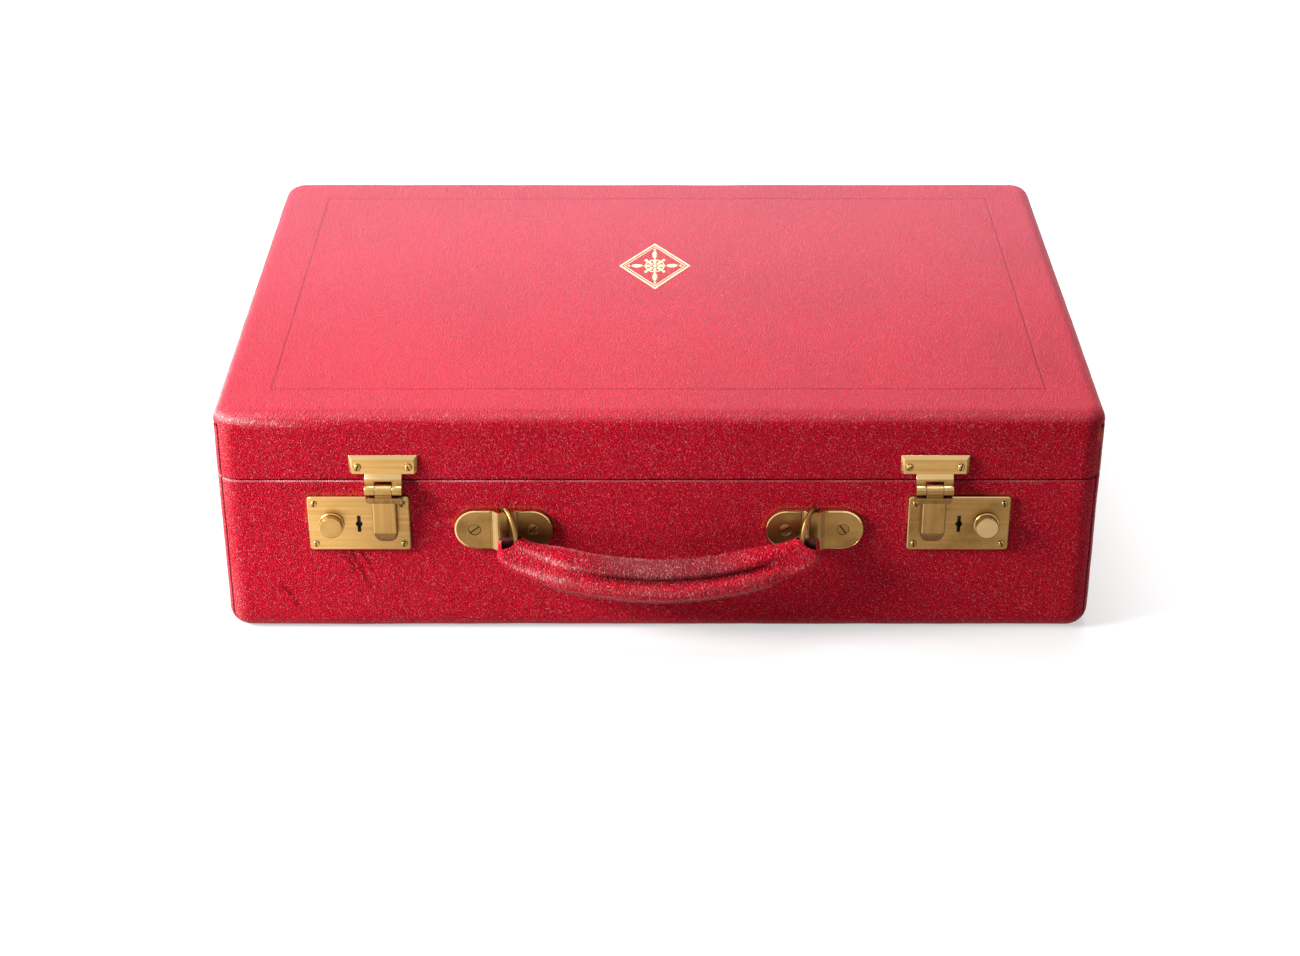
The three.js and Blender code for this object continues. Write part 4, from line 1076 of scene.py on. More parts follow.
class DESPATCH_OT_lid_leather(bpy.types.Operator):
    """Cover the lid: one piece over front, top and back, and a panel at each end"""

    bl_idname = "despatch.lid_leather"
    bl_label = "Lid leather"

    def execute(self, context):
        s = sizes()
        seam = math.degrees(s.seam)
        split = LID_HIGH.z - s.shoulder
        bm = bmesh.new()
        counts = {}
        for face in FACE_ANGLES:
            wraps = face in ("front", "back")
            profile = (lid_lower_profile(split) if wraps else []) + lid_upper_profile()
            counts[face] = sweep_face(bm, profile, face, seam if wraps else 90 - seam)
        half = Vector((HALF_WIDTH - s.corner, HALF_DEPTH - s.corner))
        add_grid(bm, Vector((0, 0)), half, LID_HIGH.z, counts["front"], counts["right"])
        bmesh.ops.remove_doubles(bm, verts=bm.verts, dist=0.02 * MM)
        self.tool_lines(bm)
        open_hinge_notches(bm)
        point_outwards(bm)
        dress_leather(bm, split)
        self.press_lines(bm)
        leather_piece("lid_cover", bm, "lid", "lid_leather_wrap")
        beside = 90 - seam - math.degrees(s.seam_gap)
        for side in SIDES:
            bm = bmesh.new()
            sweep_face(bm, lid_lower_profile(split), side, beside)
            point_outwards(bm)
            dress_leather(bm, split)
            leather_piece(f"lid_cover_{side}", bm, "lid", f"lid_leather_{side}")
        return {"FINISHED"}

    def tool_lines(self, bm):
        """Cuts rows of edges along the blind-tooled rectangle."""
        s = sizes()
        level = LID_HIGH.z - 0.01 * MM
        for axis, at in ((0, s.tooling_x), (1, s.tooling_y)):
            for line in (-at, at):
                for share in (-1, -0.5, 0, 0.5, 1):
                    top = [
                        f for f in bm.faces
                        if all(v.co.z > level for v in f.verts)
                        and abs(f.calc_center_median()[axis] - line) < 2 * s.step
                    ]
                    place = Vector((0, 0, 0))
                    place[axis] = line + share * s.tooling_width
                    slice_faces(bm, top, place, axis)

    def press_lines(self, bm):
        """Presses the blind-tooled lines into the lid's top."""
        s = sizes()
        fold = bm.verts.layers.float["fold"]
        for v in bm.verts:
            if v.co.z < LID_HIGH.z - MM:
                continue
            x, y = abs(v.co.x), abs(v.co.y)
            off = [s.tooling_width * 2]
            if y < s.tooling_y + s.tooling_width:
                off.append(abs(x - s.tooling_x))
            if x < s.tooling_x + s.tooling_width:
                off.append(abs(y - s.tooling_y))
            depth = 1 - smooth(min(off), 0.0, s.tooling_width)
            v.co.z -= s.tooling_depth * depth
            v[fold] = max(v[fold], depth)


class DESPATCH_OT_ornament(bpy.types.Operator):
    """Tool a plain lozenge in gold leaf on the lid"""

    bl_idname = "despatch.ornament"
    bl_label = "Gold ornament"

    def execute(self, context):
        centre = Vector((-0.0018, 0.0275, 0))
        tall, proud, thick = 1.55, 0.08 * MM, 0.12 * MM
        bm = bmesh.new()
        self.ring(bm, radius=0.0205, width=0.0011, lozenge=True)
        self.ring(bm, radius=0.0178, width=0.0005, lozenge=True)
        self.ring(bm, radius=0.0056, width=0.0007, lozenge=False)
        self.petals(bm, 8, out=0.0040, long=0.0024, wide=0.0010)
        self.petals(bm, 4, out=0.0100, long=0.0034, wide=0.0015)
        self.petals(bm, 4, out=0.0072, long=0.0010, wide=0.0010, first=45)
        self.petals(bm, 4, out=0.0148, long=0.0008, wide=0.0008)
        bmesh.ops.create_circle(bm, cap_ends=True, segments=20, radius=0.0012)
        bmesh.ops.scale(bm, vec=(1, tall, 1), verts=bm.verts)
        bmesh.ops.translate(bm, vec=centre, verts=bm.verts)
        for v in bm.verts:
            leather_top = LID_HIGH.z + swell(Vector((v.co.x, v.co.y, LID_HIGH.z)))
            v.co.z = leather_top + proud
        for f in bm.faces:
            if f.normal.z < 0:
                f.normal_flip()
        thicken(make_piece("lid_ornament", bm, "lid", ["gold_leaf"]), thick)
        return {"FINISHED"}

    def ring(self, bm, radius, width, lozenge):
        """A line of gold round a lozenge or a circle."""
        made = bmesh.ops.create_circle(bm, cap_ends=True, segments=64, radius=radius)
        outline = [v for v in made["verts"] if v.is_valid and v.link_faces]
        if lozenge:
            for v in outline:
                v.co *= radius / (abs(v.co.x) + abs(v.co.y))
        face = outline[0].link_faces[0]
        bmesh.ops.inset_region(
            bm, faces=[face], thickness=width, use_boundary=True, use_even_offset=True
        )
        bmesh.ops.delete(bm, geom=[face], context="FACES_ONLY")

    def petals(self, bm, count, out, long, wide, first=0):
        """Small leaves of gold set round the middle."""
        for i in range(count):
            turn = Matrix.Rotation(math.radians(first) + i * math.tau / count, 4, "Z")
            shape = Matrix.Translation((out, 0, 0)) @ Matrix.Diagonal((long, wide, 1, 1))
            bmesh.ops.create_circle(
                bm, cap_ends=True, segments=14, radius=1, matrix=turn @ shape
            )


class DESPATCH_OT_carcass(bpy.types.Operator):
    """Give the pine boards, lock cases and pins their finish"""

    bl_idname = "despatch.carcass"
    bl_label = "Carcass"

    def execute(self, context):
        for name, obj in FRAME["nodes"].items():
            kind = None
            if "_board" in name:
                kind = "stained_pine" if name.startswith("lid") else "planed_pine"
            elif name.startswith("lock_case"):
                kind = "dark_steel"
            elif "_pin_" in name:
                kind = "turned_brass"
            if kind:
                for slot in obj.material_slots:
                    slot.material = bpy.data.materials[kind]
        return {"FINISHED"}


class DESPATCH_OT_lining(bpy.types.Operator):
    """Line the base and the lid with black satin, padded on the floor and in the lid"""

    bl_idname = "despatch.lining"
    bl_label = "Lining"

    def execute(self, context):
        satin = ["black_satin"]
        bm = bmesh.new()
        self.frame(bm, *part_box("base_lining_walls"))
        make_piece("base_lining", bm, "base", satin, ["base_lining_walls"], 50)
        bm = bmesh.new()
        self.pad(bm, *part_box("base_floor_pad"), 1)
        pad = make_piece("floor_pad", bm, "base", satin, ["base_floor_pad"], 60)
        low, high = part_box("lid_lining")
        deep, gap = 5.6 * MM, 0.2 * MM
        inset = Vector((2.4 * MM, 2.4 * MM, 0))
        bm = bmesh.new()
        self.frame(bm, low, Vector((high.x, high.y, high.z - deep - gap)))
        self.pad(bm, Vector((low.x, low.y, high.z - deep)) + inset, high - inset, -1)
        pad = make_piece("lid_pad", bm, "lid", satin, ["lid_lining"], 60)
        return {"FINISHED"}

    def frame(self, bm, low, high):
        """Four thin walls in one piece, with soft edges."""
        outer = block(bm, low, high)
        caps = [f for f in bm.faces if abs(f.normal.z) > 0.9 and f.verts[0] in outer]
        bmesh.ops.inset_individual(bm, faces=caps, thickness=2 * MM, use_even_offset=True)
        bmesh.ops.bridge_loops(bm, edges=[e for f in caps for e in f.edges])
        bmesh.ops.delete(bm, geom=caps, context="FACES_ONLY")
        soften_edges(bm, 0.7 * MM, 60, 3)

    def pad(self, bm, low, high, way):
        """A crowned pad with a drawn-in edge; way is +1 facing up and -1 facing down."""
        rolled, crowned = 0.008, 0.06
        middle, half = (low + high) / 2, (high - low) / 2
        seat, crest = (low.z, high.z) if way > 0 else (high.z, low.z)
        add_grid(bm, middle, half, seat, 120, 80)
        grid = [f for f in bm.faces if abs(f.calc_center_median().z - seat) < 0.001 * MM]
        for v in extruded(bm, grid):
            edge = min(v.co.x - low.x, high.x - v.co.x, v.co.y - low.y, high.y - v.co.y)
            roll = 1 - math.sqrt(max(0.0, 1 - (1 - min(edge / rolled, 1)) ** 2))
            crown = smooth(edge, 0.0, crowned)
            ruck = noise.noise(Vector((v.co.x * 20, v.co.y * 50, 4))) * smooth(edge, 0.004, 0.03)
            share = 0.76 * (1 - roll) + 0.18 * crown + 0.06 * ruck
            v.co.z = seat + (crest - seat) * min(max(share, 0.25), 1.0)
        bmesh.ops.recalc_face_normals(bm, faces=bm.faces)


class DESPATCH_OT_locks(bpy.types.Operator):
    """Dress the two lock plates and make their sliding knobs with bolts"""

    bl_idname = "despatch.locks"
    bl_label = "Locks"

    def execute(self, context):
        for side, sign in SIDES.items():
            plate = f"lock_plate_{side}"
            bm = merged_copy(plate)
            brass_shade_and_highlight(bm, 1.0)
            make_piece(f"plate_{side}", bm, "base", ["brushed_brass"], [plate], 20)
            self.knob(side, sign, centre_of(plate))
        return {"FINISHED"}

    def knob(self, side, sign, centre):
        """The knob with its collar, and the bolt behind the plate."""
        seat, top, beside_centre = 0.0024, 0.0073, 0.0143
        bm = spun([
            (0, -0.0015), (0.0022, -0.0015), (0.0022, seat),
            (0.0064, seat), (0.0067, seat + 0.0003), (0.0067, seat + 0.0008),
            (0.0064, seat + 0.0011), (0.0054, seat + 0.0012),
            (0.0054, 0.0044), (0.0058, 0.0045), (0.0060, 0.0048), (0.0060, top - 0.0005),
            (0.00586, top - 0.0002), (0.0055, top), (0.0050, top - 0.00006), (0, top),
        ], 64)
        bmesh.ops.translate(bm, vec=(sign * beside_centre, 0, 0), verts=bm.verts)
        heel, root, nose, back, thick = 0.0171, -0.0058, -0.0088, -0.0033, 0.003
        bolt = bm.faces.new([
            bm.verts.new((sign * x, y, back)) for x, y in (
                (heel, 0.003), (0.0115, 0.003), (0.0115, -0.0054), (root, -0.0054),
                (root, 0.003), (nose, 0.003), (nose, -0.0086), (heel, -0.0086),
            )
        ])
        bmesh.ops.translate(bm, vec=(0, 0, thick), verts=extruded(bm, [bolt]))
        bmesh.ops.recalc_face_normals(bm, faces=bm.faces)
        bmesh.ops.transform(bm, matrix=onto_front(centre.x, centre.z), verts=bm.verts)
        brass_shade_and_highlight(bm, 1.0)
        # Painted shade on the left knob's face, painted highlight on the right knob's face.
        hidden, edge = corner_layers(bm, "hidden", "edge")
        front = [f for f in bm.faces if f.normal.y < -0.97]
        paint(front, hidden, 0.35 if side == "left" else 0.0)
        paint(front, edge, 0.0 if side == "left" else 0.6)
        make_piece(
            f"knob_{side}_brass", bm, f"knob_{side}", ["turned_brass"],
            [f"lock_knob_{side}"], 30,
        )


class DESPATCH_OT_hasps(bpy.types.Operator):
    """Dress the hasps and their mounts on the lid"""

    bl_idname = "despatch.hasps"
    bl_label = "Hasps"

    def execute(self, context):
        for side in SIDES:
            mount, hasp = f"hasp_mount_{side}", f"hasp_{side}"
            bm = merged_copy(mount)
            soften_edges(bm, 0.15 * MM)
            brass_shade_and_highlight(bm, 1.0)
            make_piece(f"mount_{side}_brass", bm, "lid", ["brushed_brass"], [mount], 30)
            bm = merged_copy(hasp)
            soften_edges(bm, 0.15 * MM)
            brass_shade_and_highlight(bm)
            make_piece(f"{hasp}_brass", bm, hasp, ["upright_brass"], [hasp], 20)
            self.lip(side, hasp)
        return {"FINISHED"}

    def lip(self, side, hasp):
        """The wide lip under the knuckles, which slopes back to the hasp's body."""
        low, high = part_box(hasp)
        pin_low, pin_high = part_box(f"hasp_pin_{side}")
        half, corner, drop = (high.x - low.x) / 2, 0.0022, 0.0035
        below_pin, slope = 0.00345, 0.0009
        top = (pin_low.z + pin_high.z) / 2 - below_pin
        out, back = -HALF_DEPTH - low.y, 0.0030
        turns = [math.radians(90 * i / 5) for i in range(6)]
        outline = [(-half, 0)]
        outline += [
            (corner * (1 - math.cos(a)) - half, corner * (1 - math.sin(a)) - drop) for a in turns
        ]
        outline += [(-x, z) for x, z in reversed(outline)]
        bm = bmesh.new()
        face = bm.faces.new([bm.verts.new((x, z, back)) for x, z in outline])
        for v in extruded(bm, [face]):
            v.co.z = out + slope * v.co.y / drop
        bmesh.ops.recalc_face_normals(bm, faces=bm.faces)
        place = onto_front((low.x + high.x) / 2, top)
        bmesh.ops.transform(bm, matrix=place, verts=bm.verts)
        soften_edges(bm, 0.2 * MM)
        brass_shade_and_highlight(bm)
        # Painted shade on the lip's front faces.
        (hidden,) = corner_layers(bm, "hidden")
        paint([f for f in bm.faces if f.normal.y < -0.9], hidden, 0.85)
        make_piece(f"{hasp}_lip", bm, hasp, ["upright_brass"], limit=30)


class DESPATCH_OT_screws(bpy.types.Operator):
    """Make the domed and the countersunk slotted screws"""

    bl_idname = "despatch.screws"
    bl_label = "Screws"

    def execute(self, context):
        forms = {
            "lock": self.slotted(self.domed(radius=0.0017)),
            "hasp": self.slotted(self.domed(radius=0.0019)),
            "handle": self.slotted(self.sunk(radius=0.0031, shank=0.0015)),
        }
        slot_turns = {
            "lock_screw_left": (78, 60, 100, 75), "lock_screw_right": (-65, 100, 85, 120),
            "hasp_screw_left": (70, 115), "hasp_screw_right": (35, 75),
            "handle_screw_left": (38, 50), "handle_screw_right": (30, -55),
        }
        for stem, angles in slot_turns.items():
            mesh = forms[stem.split("_")[0]]
            for i, degrees in enumerate(angles, 1):
                self.place(mesh, f"{stem}_{i}", degrees)
        for mesh in forms.values():
            bpy.data.meshes.remove(mesh)
        return {"FINISHED"}

    def domed(self, radius):
        """Half the section of a screw with a domed head."""
        dome = shank = radius * 0.6
        curve = [
            (radius * math.sin(t), dome * (0.2 + 0.8 * math.cos(t)))
            for t in (math.radians(a) for a in (90, 75, 60, 45, 30, 15))
        ]
        return [
            (0, -0.008), (shank, -0.0065), (shank, 0), (radius * 0.96, 0), *curve, (0, dome),
        ]

    def sunk(self, radius, shank):
        """Half the section of a countersunk screw."""
        return [
            (0, -0.010), (shank, -0.0085), (shank, -0.0015), (radius - 0.0001, -0.0001),
            (radius - 0.0003, 0), (0, 0),
        ]

    def slotted(self, profile):
        """A screw's mesh with a slot across its head, whose top is the profile's last point."""
        top, reach, half_width, deep = profile[-1][1], 0.004, 0.00035, 0.0007
        mesh = bpy.data.meshes.new("screw")
        bm = spun(profile, 40)
        bm.to_mesh(mesh)
        bm.free()
        for name in ("turned_brass", "grime"):
            mesh.materials.append(bpy.data.materials[name])
        holder = add_object("screw", mesh)
        slot = bmesh.new()
        block(slot, (-reach, -half_width, top - deep), (reach, half_width, top + 0.002))
        cut_away(holder, slot)
        result = holder.data
        bpy.data.objects.remove(holder)
        return result

    def place(self, mesh, screw, degrees):
        """Sets a screw in its place, as far out as the CAD's, its slot turned by degrees."""
        centre = centre_of(screw)
        bm = bmesh.new()
        bm.from_mesh(mesh)
        top = max(v.co.z for v in bm.verts)
        out = -HALF_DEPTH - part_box(screw)[0].y
        bmesh.ops.translate(bm, vec=(0, 0, out - top), verts=bm.verts)
        place = onto_front(centre.x, centre.z, math.radians(degrees))
        bmesh.ops.transform(bm, matrix=place, verts=bm.verts)
        # Painted shade and highlight by facing; every face is shaded at least a little.
        brass_shade_and_highlight(bm, 1.0, 0.3)
        make_piece(
            screw.replace("_screw", "_fixing"), bm, body_of(screw), ["turned_brass", "grime"],
            [screw], 30,
        )


class DESPATCH_OT_handle_plates(bpy.types.Operator):
    """Dress the handle's plates and make its rings"""

    bl_idname = "despatch.handle_plates"
    bl_label = "Handle plates and rings"

    def execute(self, context):
        for side, sign in SIDES.items():
            plate = f"handle_plate_{side}"
            bm = merged_copy(plate)
            soften_edges(bm, 0.5 * MM, 50)
            low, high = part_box(plate)
            rim = self.rim(bm, (low.x + high.x) / 2)
            brass_shade_and_highlight(bm, 1.0)
            # Painted highlight on the chamfer's faces that look up or to the left.
            (edge,) = corner_layers(bm, "edge")
            for face in rim:
                lit = max(smooth(face.normal.z, 0.1, 0.3), smooth(-face.normal.x, 0.1, 0.3))
                paint([face], edge, 1.6 * lit)
            make_piece(f"handle_mount_{side}", bm, "base", ["satin_brass"], [plate], 10)
            self.ring(side, sign, (low + high) / 2)
        return {"FINISHED"}

    def rim(self, bm, middle):
        """A wide chamfer round the plate's outline, beside its arch; returns its faces."""
        wide, deep = 0.8 * MM, 0.35 * MM

        def front(reach):
            """The flat faces of the front that lie further than reach from the middle."""
            return [
                f for f in bm.faces
                if f.normal.y < -0.99 and abs(f.calc_center_median().x - middle) > reach
            ]

        bm.normal_update()
        lands = bmesh.ops.triangulate(bm, faces=front(8 * MM))["faces"]
        inside = [e for f in lands for e in f.edges if set(e.link_faces) <= set(lands)]
        bmesh.ops.beautify_fill(bm, faces=lands, edges=without_repeats(inside), method="AREA")
        lands = front(6.7 * MM)
        made = bmesh.ops.inset_region(
            bm, faces=lands, thickness=wide, depth=0, use_even_offset=True, use_boundary=True
        )
        inner = {v for f in lands for v in f.verts}
        outline = {
            v for f in made["faces"] for v in f.verts
            if v not in inner and abs(v.co.x - middle) > 9 * MM
            and plate_distance(v.co)[0] > -0.9 * MM
        }
        for v in outline:
            v.co.y += deep
        return [f for f in made["faces"] if any(v in outline for v in f.verts)]

    def ring(self, side, sign, centre):
        """A D of wire: an upright leg in the arch and a round bow."""
        corner, wire, yaw = 0.0025, 0.0013, math.radians(30)
        end = math.acos(corner / RING_RADIUS)
        path = [
            (RING_RADIUS * math.cos(end * t / 24), RING_RADIUS * math.sin(end * t / 24))
            for t in range(-24, 25)
        ]
        level = RING_RADIUS * math.sin(end) - corner
        for first, way, steps in ((90, 1, range(1, 9)), (180, -1, range(8))):
            for i in steps:
                a = math.radians(first + 90 * i / 8)
                path.append((corner + corner * math.cos(a), way * level + corner * math.sin(a)))
        curve = bpy.data.curves.new(f"ring_{side}_path", "CURVE")
        curve.dimensions = "3D"
        curve.bevel_depth = wire
        curve.bevel_resolution = 6
        spline = curve.splines.new("POLY")
        spline.points.add(len(path) - 1)
        for point, (s, t) in zip(spline.points, path):
            x = centre.x - sign * s * math.sin(yaw)
            y = -HALF_DEPTH - PIVOT_OUT - s * math.cos(yaw)
            point.co = (x, y, centre.z + t, 1)
        spline.use_cyclic_u = True
        holder = add_object(curve.name, curve)
        bm = bmesh.new()
        bm.from_mesh(applied_mesh(holder))
        bpy.data.objects.remove(holder)
        bmesh.ops.remove_doubles(bm, verts=bm.verts, dist=0.001 * MM)
        bmesh.ops.recalc_face_normals(bm, faces=bm.faces)
        make_piece(
            f"ring_{side}_brass", bm, f"ring_{side}", ["turned_brass"],
            [f"handle_ring_{side}"], 60,
        )


class DESPATCH_OT_handle(bpy.types.Operator):
    """Make the padded handle: two rolls with a groove, flat slotted ends and raised cut edges"""

    bl_idname = "despatch.handle"
    bl_label = "Handle"

    masks = ("rub", "soiled", "fold", "seam")

    def execute(self, context):
        h = context.scene.despatch_handle
        bm = bmesh.new()
        for key in self.masks:
            bm.verts.layers.float.new(key)
        ring = bmesh.ops.create_circle(bm, segments=72, radius=1)["verts"]
        ring.sort(key=lambda v: math.atan2(v.co.y, v.co.x) % math.tau)
        stations = self.stations(h)
        rings = [ring]
        while len(rings) < len(stations):
            rings.append(self.next_ring(bm, rings[-1]))
        for ring, (x, share) in zip(rings, stations):
            self.shape(bm, h, ring, x, share)
        for end in (rings[0], rings[-1]):
            rim = [e for e in bm.edges if e.is_boundary and e.verts[0] in end]
            bmesh.ops.contextual_create(bm, geom=rim)
        bmesh.ops.recalc_face_normals(bm, faces=bm.faces)
        bm.normal_update()
        for v in bm.verts:
            v.co += v.normal * self.wrinkle(v.co)
        piece = make_piece(
            "padded_handle", bm, "handle", ["grip_leather", "cut_leather"],
            ["handle_grip"], 50,
        )
        raised = math.radians(70)  # the end of the handle's swing
        for sign in SIDES.values():
            cut_away(piece, self.slot(sign))
            cut_away(piece, self.clearance(sign, 0))
            cut_away(piece, self.clearance(sign, raised))
        shade(piece.data, 50)
        return {"FINISHED"}

    def stations(self, h):
        """Where the rings stand along the handle, and their share of its thickness."""
        ends = [(0.0, 0.40), (0.04, 0.55), (0.12, 0.70), (0.25, 0.82), (0.45, 0.92), (0.7, 0.98)]
        count = 260
        inner, round_end = h.half - h.tab_thickness, h.tab_thickness / 2
        left = [(-h.half + round_end * a, b) for a, b in ends]
        middle = [(inner * (2 * i / count - 1), 1.0) for i in range(count + 1)]
        right = [(h.half - round_end * a, b) for a, b in reversed(ends)]
        return left + middle + right

    def next_ring(self, bm, ring):
        """Extrudes a ring and returns the new one in the same order."""
        edges = [e for v in ring for e in v.link_edges if e.other_vert(v) in ring]
        made = bmesh.ops.extrude_edge_only(bm, edges=without_repeats(edges))
        fresh = {
            e.other_vert(v): v
            for v in made["geom"] if isinstance(v, bmesh.types.BMVert)
            for e in v.link_edges if e.other_vert(v) in ring
        }
        return [fresh[v] for v in ring]

    def level(self):
        """The height of the line that the handle swings about."""
        low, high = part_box("handle_plate_left")
        return (low.z + high.z) / 2

    def shape(self, bm, h, ring, x, share):
        """Gives one ring of the handle its section."""
        s = x / h.half
        flat = smooth(abs(s), 0.55, 0.86)
        slope = math.atan(2 * h.drop * s / h.half) * (1 - 0.75 * flat)
        out = Vector((0, -math.cos(h.lean), math.sin(h.lean)))
        down = Vector((0, -math.sin(h.lean), -math.cos(h.lean)))
        middle = Vector((x, -HALF_DEPTH - h.out, self.level() - h.below))
        middle -= down * (h.drop * s * s)
        along = Vector((math.sin(slope), 0, 0)) + down * math.cos(slope)
        thick = (h.thickness + (h.tab_thickness - h.thickness) * flat) * share / 2
        tall = (h.height + (h.tab_height - h.height) * flat) / 2
        power = 0.85 - 0.40 * flat
        deep = 0.35 + 0.65 * smooth(x, -0.048, -0.022)
        tip = min(max((abs(x) - h.half + 0.009) / 0.009, 0.0), 1.0)
        heel = 0.0016 * math.exp(-(((abs(x) - 0.0765) / 0.0045) ** 2))

        def bend(value):
            return math.copysign(abs(value) ** power, value)

        for i, v in enumerate(ring):
            turn = i / len(ring) * math.tau
            sine, cosine = math.sin(turn), math.cos(turn)
            across = tall * bend(sine)
            off_groove = across + h.groove_place
            line = (1 - flat) * deep * math.exp(-((off_groove / h.groove_width) ** 2))
            face = thick * bend(cosine)
            depth = face - h.groove * line if face > 0 else face * (1 - 0.3 * (1 - flat))
            if sine > 0:
                across *= 1 - 0.55 * (1 - math.sqrt(1 - 0.98 * tip * tip))
            else:
                across -= heel * smooth(-sine, 0.3, 0.95)
            ridge = math.exp(-(((abs(sine) - 1) / 0.012) ** 2)) * (1 - 0.8 * flat)
            across += math.copysign(h.welt * ridge, sine)
            v.co = middle + out * depth + along * across
            self.mark(bm, v, x, flat, sine, face > 0, ridge, off_groove)

    def mark(self, bm, v, x, flat, sine, front, ridge, off_groove):
        """Writes a vertex's masks: worn cut edges, painted highlights on the rolls' crests, dirty
        hands' marks in the middle, and painted shade under the grip and in its groove.
        """
        rub, soiled, fold, seam = (bm.verts.layers.float[key] for key in self.masks)
        left = 1 - smooth(x, -0.055, -0.005)
        # Painted highlights along the crests of the two rolls beside the groove, strongest at the
        # left end.
        lower = front * math.exp(-(((sine - 0.36) / 0.2) ** 2)) * (0.35 + 0.65 * left)
        upper = front * math.exp(-(((sine + 0.30) / 0.14) ** 2)) * left
        welt = ridge * (0.75 * (1 - smooth(x, -0.04, 0.03)) if sine < 0 else 0.1)
        held = smooth(x, -0.052, -0.022) * (1 - smooth(x, 0.022, 0.056))
        held *= smooth(-off_groove, 0.0, 0.0012)
        # Painted shade on the grip's underside.
        under = 0.6 * smooth(sine, 0.9, 0.99) * (1 - flat)
        # Painted shade in the groove, from a little way in from the left end.
        dark = front * (1 - flat) * smooth(x, -0.040, -0.020)
        v[rub] = max(welt, lower, upper, 0.3 * held * front)
        v[soiled] = max(under, 0.8 * held)
        v[seam] = 0.75 * dark * math.exp(-((off_groove / 0.0007) ** 2))
        v[fold] = dark * math.exp(-((off_groove / 0.0012) ** 2))

    def wrinkle(self, point):
        """Creases across the handle and the unevenness of its padding."""
        across = noise.noise(Vector((point.x * 430, point.y * 110, point.z * 130)))
        fine = noise.noise(Vector((point.x * 900, point.y * 300, point.z * 340)))
        padding = noise.noise(point * 110 + Vector((2, 7, 3)))
        return (0.22 * across + 0.10 * fine + 0.30 * padding) * MM

    def slot(self, sign):
        """The curved slot through an end, where the ring's bow runs."""
        pivot, room = 0.0805, 0.00165
        level, axis_y = self.level(), -HALF_DEPTH - PIVOT_OUT
        first, swing = math.radians(-105), math.radians(140)
        start, width = -0.0005, 0.01004
        inboard = [start + width * i / 8 for i in range(9)]
        section = [(x, math.sqrt((RING_RADIUS + room) ** 2 - x * x)) for x in inboard]
        section += [(x, math.sqrt((RING_RADIUS - room) ** 2 - x * x)) for x in reversed(inboard)]
        bm = bmesh.new()
        face = bm.faces.new([
            bm.verts.new((
                sign * (pivot - x), axis_y - r * math.cos(first), level + r * math.sin(first),
            ))
            for x, r in section
        ])
        bmesh.ops.spin(
            bm, geom=[face], cent=(0, axis_y, level), axis=(-1, 0, 0), angle=swing, steps=24
        )
        bmesh.ops.recalc_face_normals(bm, faces=bm.faces)
        return bm

    def clearance(self, sign, turn):
        """Room for the plate's arch behind an end, at rest and with the handle raised."""
        left, right = sorted((sign * 0.0736, sign * 0.0874))
        front, back, half_height = -0.0037, 0.0226, 0.0133
        bm = bmesh.new()
        block(bm, (left, front, -half_height), (right, back, half_height))
        bmesh.ops.rotate(
            bm, verts=bm.verts, cent=(0, 0, 0), matrix=Matrix.Rotation(turn, 3, "X")
        )
        axis = Vector((0, -HALF_DEPTH - PIVOT_OUT, self.level()))
        bmesh.ops.translate(bm, vec=axis, verts=bm.verts)
        return bm


class DESPATCH_OT_hinges(bpy.types.Operator):
    """Dress the butt hinges at the back"""

    bl_idname = "despatch.hinges"
    bl_label = "Hinges"

    def execute(self, context):
        for side in SIDES:
            for part in ("base", "lid"):
                leaf = f"hinge_{part}_leaf_{side}"
                bm = merged_copy(leaf)
                make_piece(
                    f"hinge_{side}_{part}", bm, part, ["brushed_brass"], [leaf], 40
                )
        return {"FINISHED"}


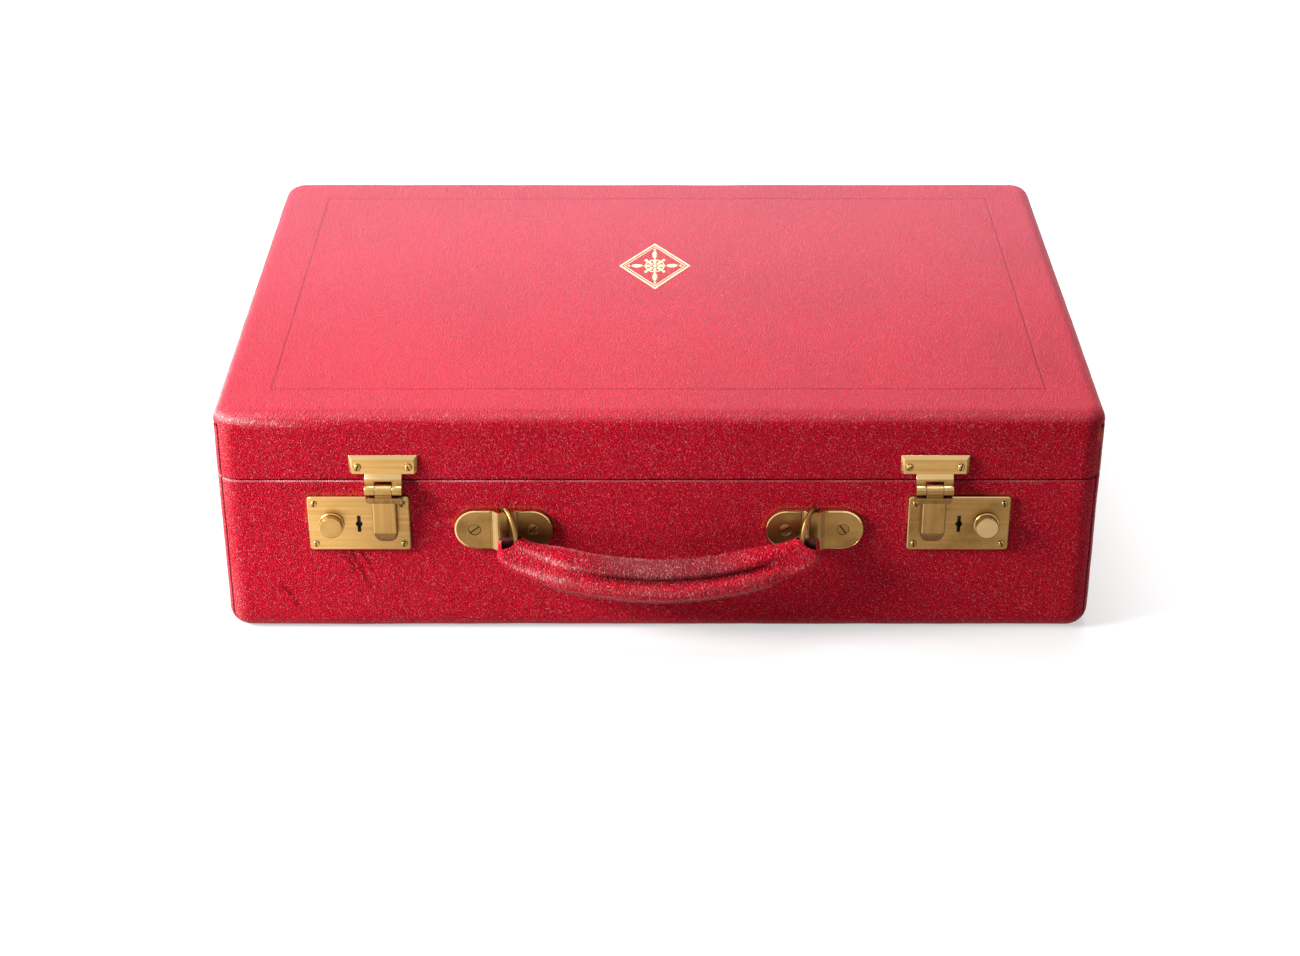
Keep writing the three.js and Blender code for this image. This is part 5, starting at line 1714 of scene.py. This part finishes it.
class DESPATCH_OT_stage(bpy.types.Operator):
    """Set the floor, the light and the camera"""

    bl_idname = "despatch.stage"
    bl_label = "Stage"

    def execute(self, context):
        scene = context.scene
        view = scene.despatch_stage
        scene.view_settings.view_transform = "Standard"
        camera = bpy.data.cameras.new("camera")
        camera.lens = view.lens
        camera.sensor_width = 36
        camera.shift_y = view.shift
        camera.clip_start, camera.clip_end = 0.01, 50
        holder = add_object("camera", camera)
        holder.location = view.place
        holder.rotation_euler = (math.pi / 2 - view.pitch, 0, 0)
        scene.camera = holder
        self.floor()
        self.world(view.world)
        self.lamp("key", (-0.86, -0.43, 0.52), 0.36, view.key)
        self.lamp("top", (0.05, 0.30, 1.6), 1.2, view.top)
        self.lamp("back", (0, 1.75, 1.1), 1.6, view.back)
        return {"FINISHED"}

    def lamp(self, name, place, size, power):
        """A round lamp that faces the middle of the case."""
        data = bpy.data.lights.new(name, "AREA")
        data.shape = "DISK"
        data.size = size
        data.energy = power
        obj = add_object(name, data)
        obj.location = place
        aim = Vector((0, 0, 0.06)) - Vector(place)
        obj.rotation_euler = aim.to_track_quat("-Z", "Y").to_euler()

    def floor(self):
        """A pale floor that grows white further out."""
        bm = bmesh.new()
        bmesh.ops.create_grid(bm, x_segments=1, y_segments=1, size=6)
        mesh = bpy.data.meshes.new("floor")
        bm.to_mesh(mesh)
        bm.free()
        tree, shader, coords = new_material("pale_floor", roughness=0.7, specular_ior_level=0.1)
        away = node(tree, "ShaderNodeVectorMath", {0: coords}, operation="LENGTH").outputs["Value"]
        far = ramp(tree, away, 0.45, 1.3)
        tint = blend(tree, far, (0.52, 0.52, 0.52), (0, 0, 0))
        tree.links.new(tint, shader.inputs["Base Color"])
        level = times(tree, far, 0.46, 0.54)
        strength = times(tree, seen(tree), level)
        glow = node(tree, "ShaderNodeEmission", {"Strength": strength})
        both = node(tree, "ShaderNodeAddShader", {0: shader.outputs[0], 1: glow.outputs[0]})
        out = next(n for n in tree.nodes if n.type == "OUTPUT_MATERIAL")
        tree.links.new(both.outputs[0], out.inputs["Surface"])
        mesh.materials.append(bpy.data.materials["pale_floor"])
        add_object("floor", mesh)

    def world(self, strength):
        """White all round, dimmer for the light that it throws."""
        world = bpy.data.worlds.new("studio")
        world.use_nodes = True
        tree = world.node_tree
        back = tree.nodes["Background"].inputs
        back["Color"].default_value = (1, 1, 1, 1)
        level = times(tree, seen(tree), 1 - strength, strength)
        tree.links.new(level, back["Strength"])
        bpy.context.scene.world = world


class DESPATCH_PT_parts(bpy.types.Panel):
    """Lists the operators that make the box"""

    bl_label = "Despatch Box"
    bl_idname = "DESPATCH_PT_parts"
    bl_space_type = "VIEW_3D"
    bl_region_type = "UI"
    bl_category = "Despatch Box"

    def draw(self, context):
        for made in OPERATORS:
            self.layout.operator(made.bl_idname)


OPERATORS = (
    DESPATCH_OT_stage,
    DESPATCH_OT_materials,
    DESPATCH_OT_base_leather,
    DESPATCH_OT_lid_leather,
    DESPATCH_OT_ornament,
    DESPATCH_OT_carcass,
    DESPATCH_OT_lining,
    DESPATCH_OT_locks,
    DESPATCH_OT_hasps,
    DESPATCH_OT_screws,
    DESPATCH_OT_handle_plates,
    DESPATCH_OT_handle,
    DESPATCH_OT_hinges,
)
SETTINGS = {
    "despatch_case": CaseSizes,
    "despatch_leather": LeatherLook,
    "despatch_handle": HandleSizes,
    "despatch_brass": BrassLook,
    "despatch_stage": StageLook,
}


def register():
    for made in (*SETTINGS.values(), *OPERATORS, DESPATCH_PT_parts):
        bpy.utils.register_class(made)
    for name, group in SETTINGS.items():
        setattr(bpy.types.Scene, name, bpy.props.PointerProperty(type=group))


def unregister():
    for name in SETTINGS:
        delattr(bpy.types.Scene, name)
    for made in (DESPATCH_PT_parts, *reversed(OPERATORS), *SETTINGS.values()):
        bpy.utils.unregister_class(made)


def main():
    register()
    for made in OPERATORS:
        group, name = made.bl_idname.split(".")
        getattr(getattr(bpy.ops, group), name)()


if __name__ == "__main__":
    main()
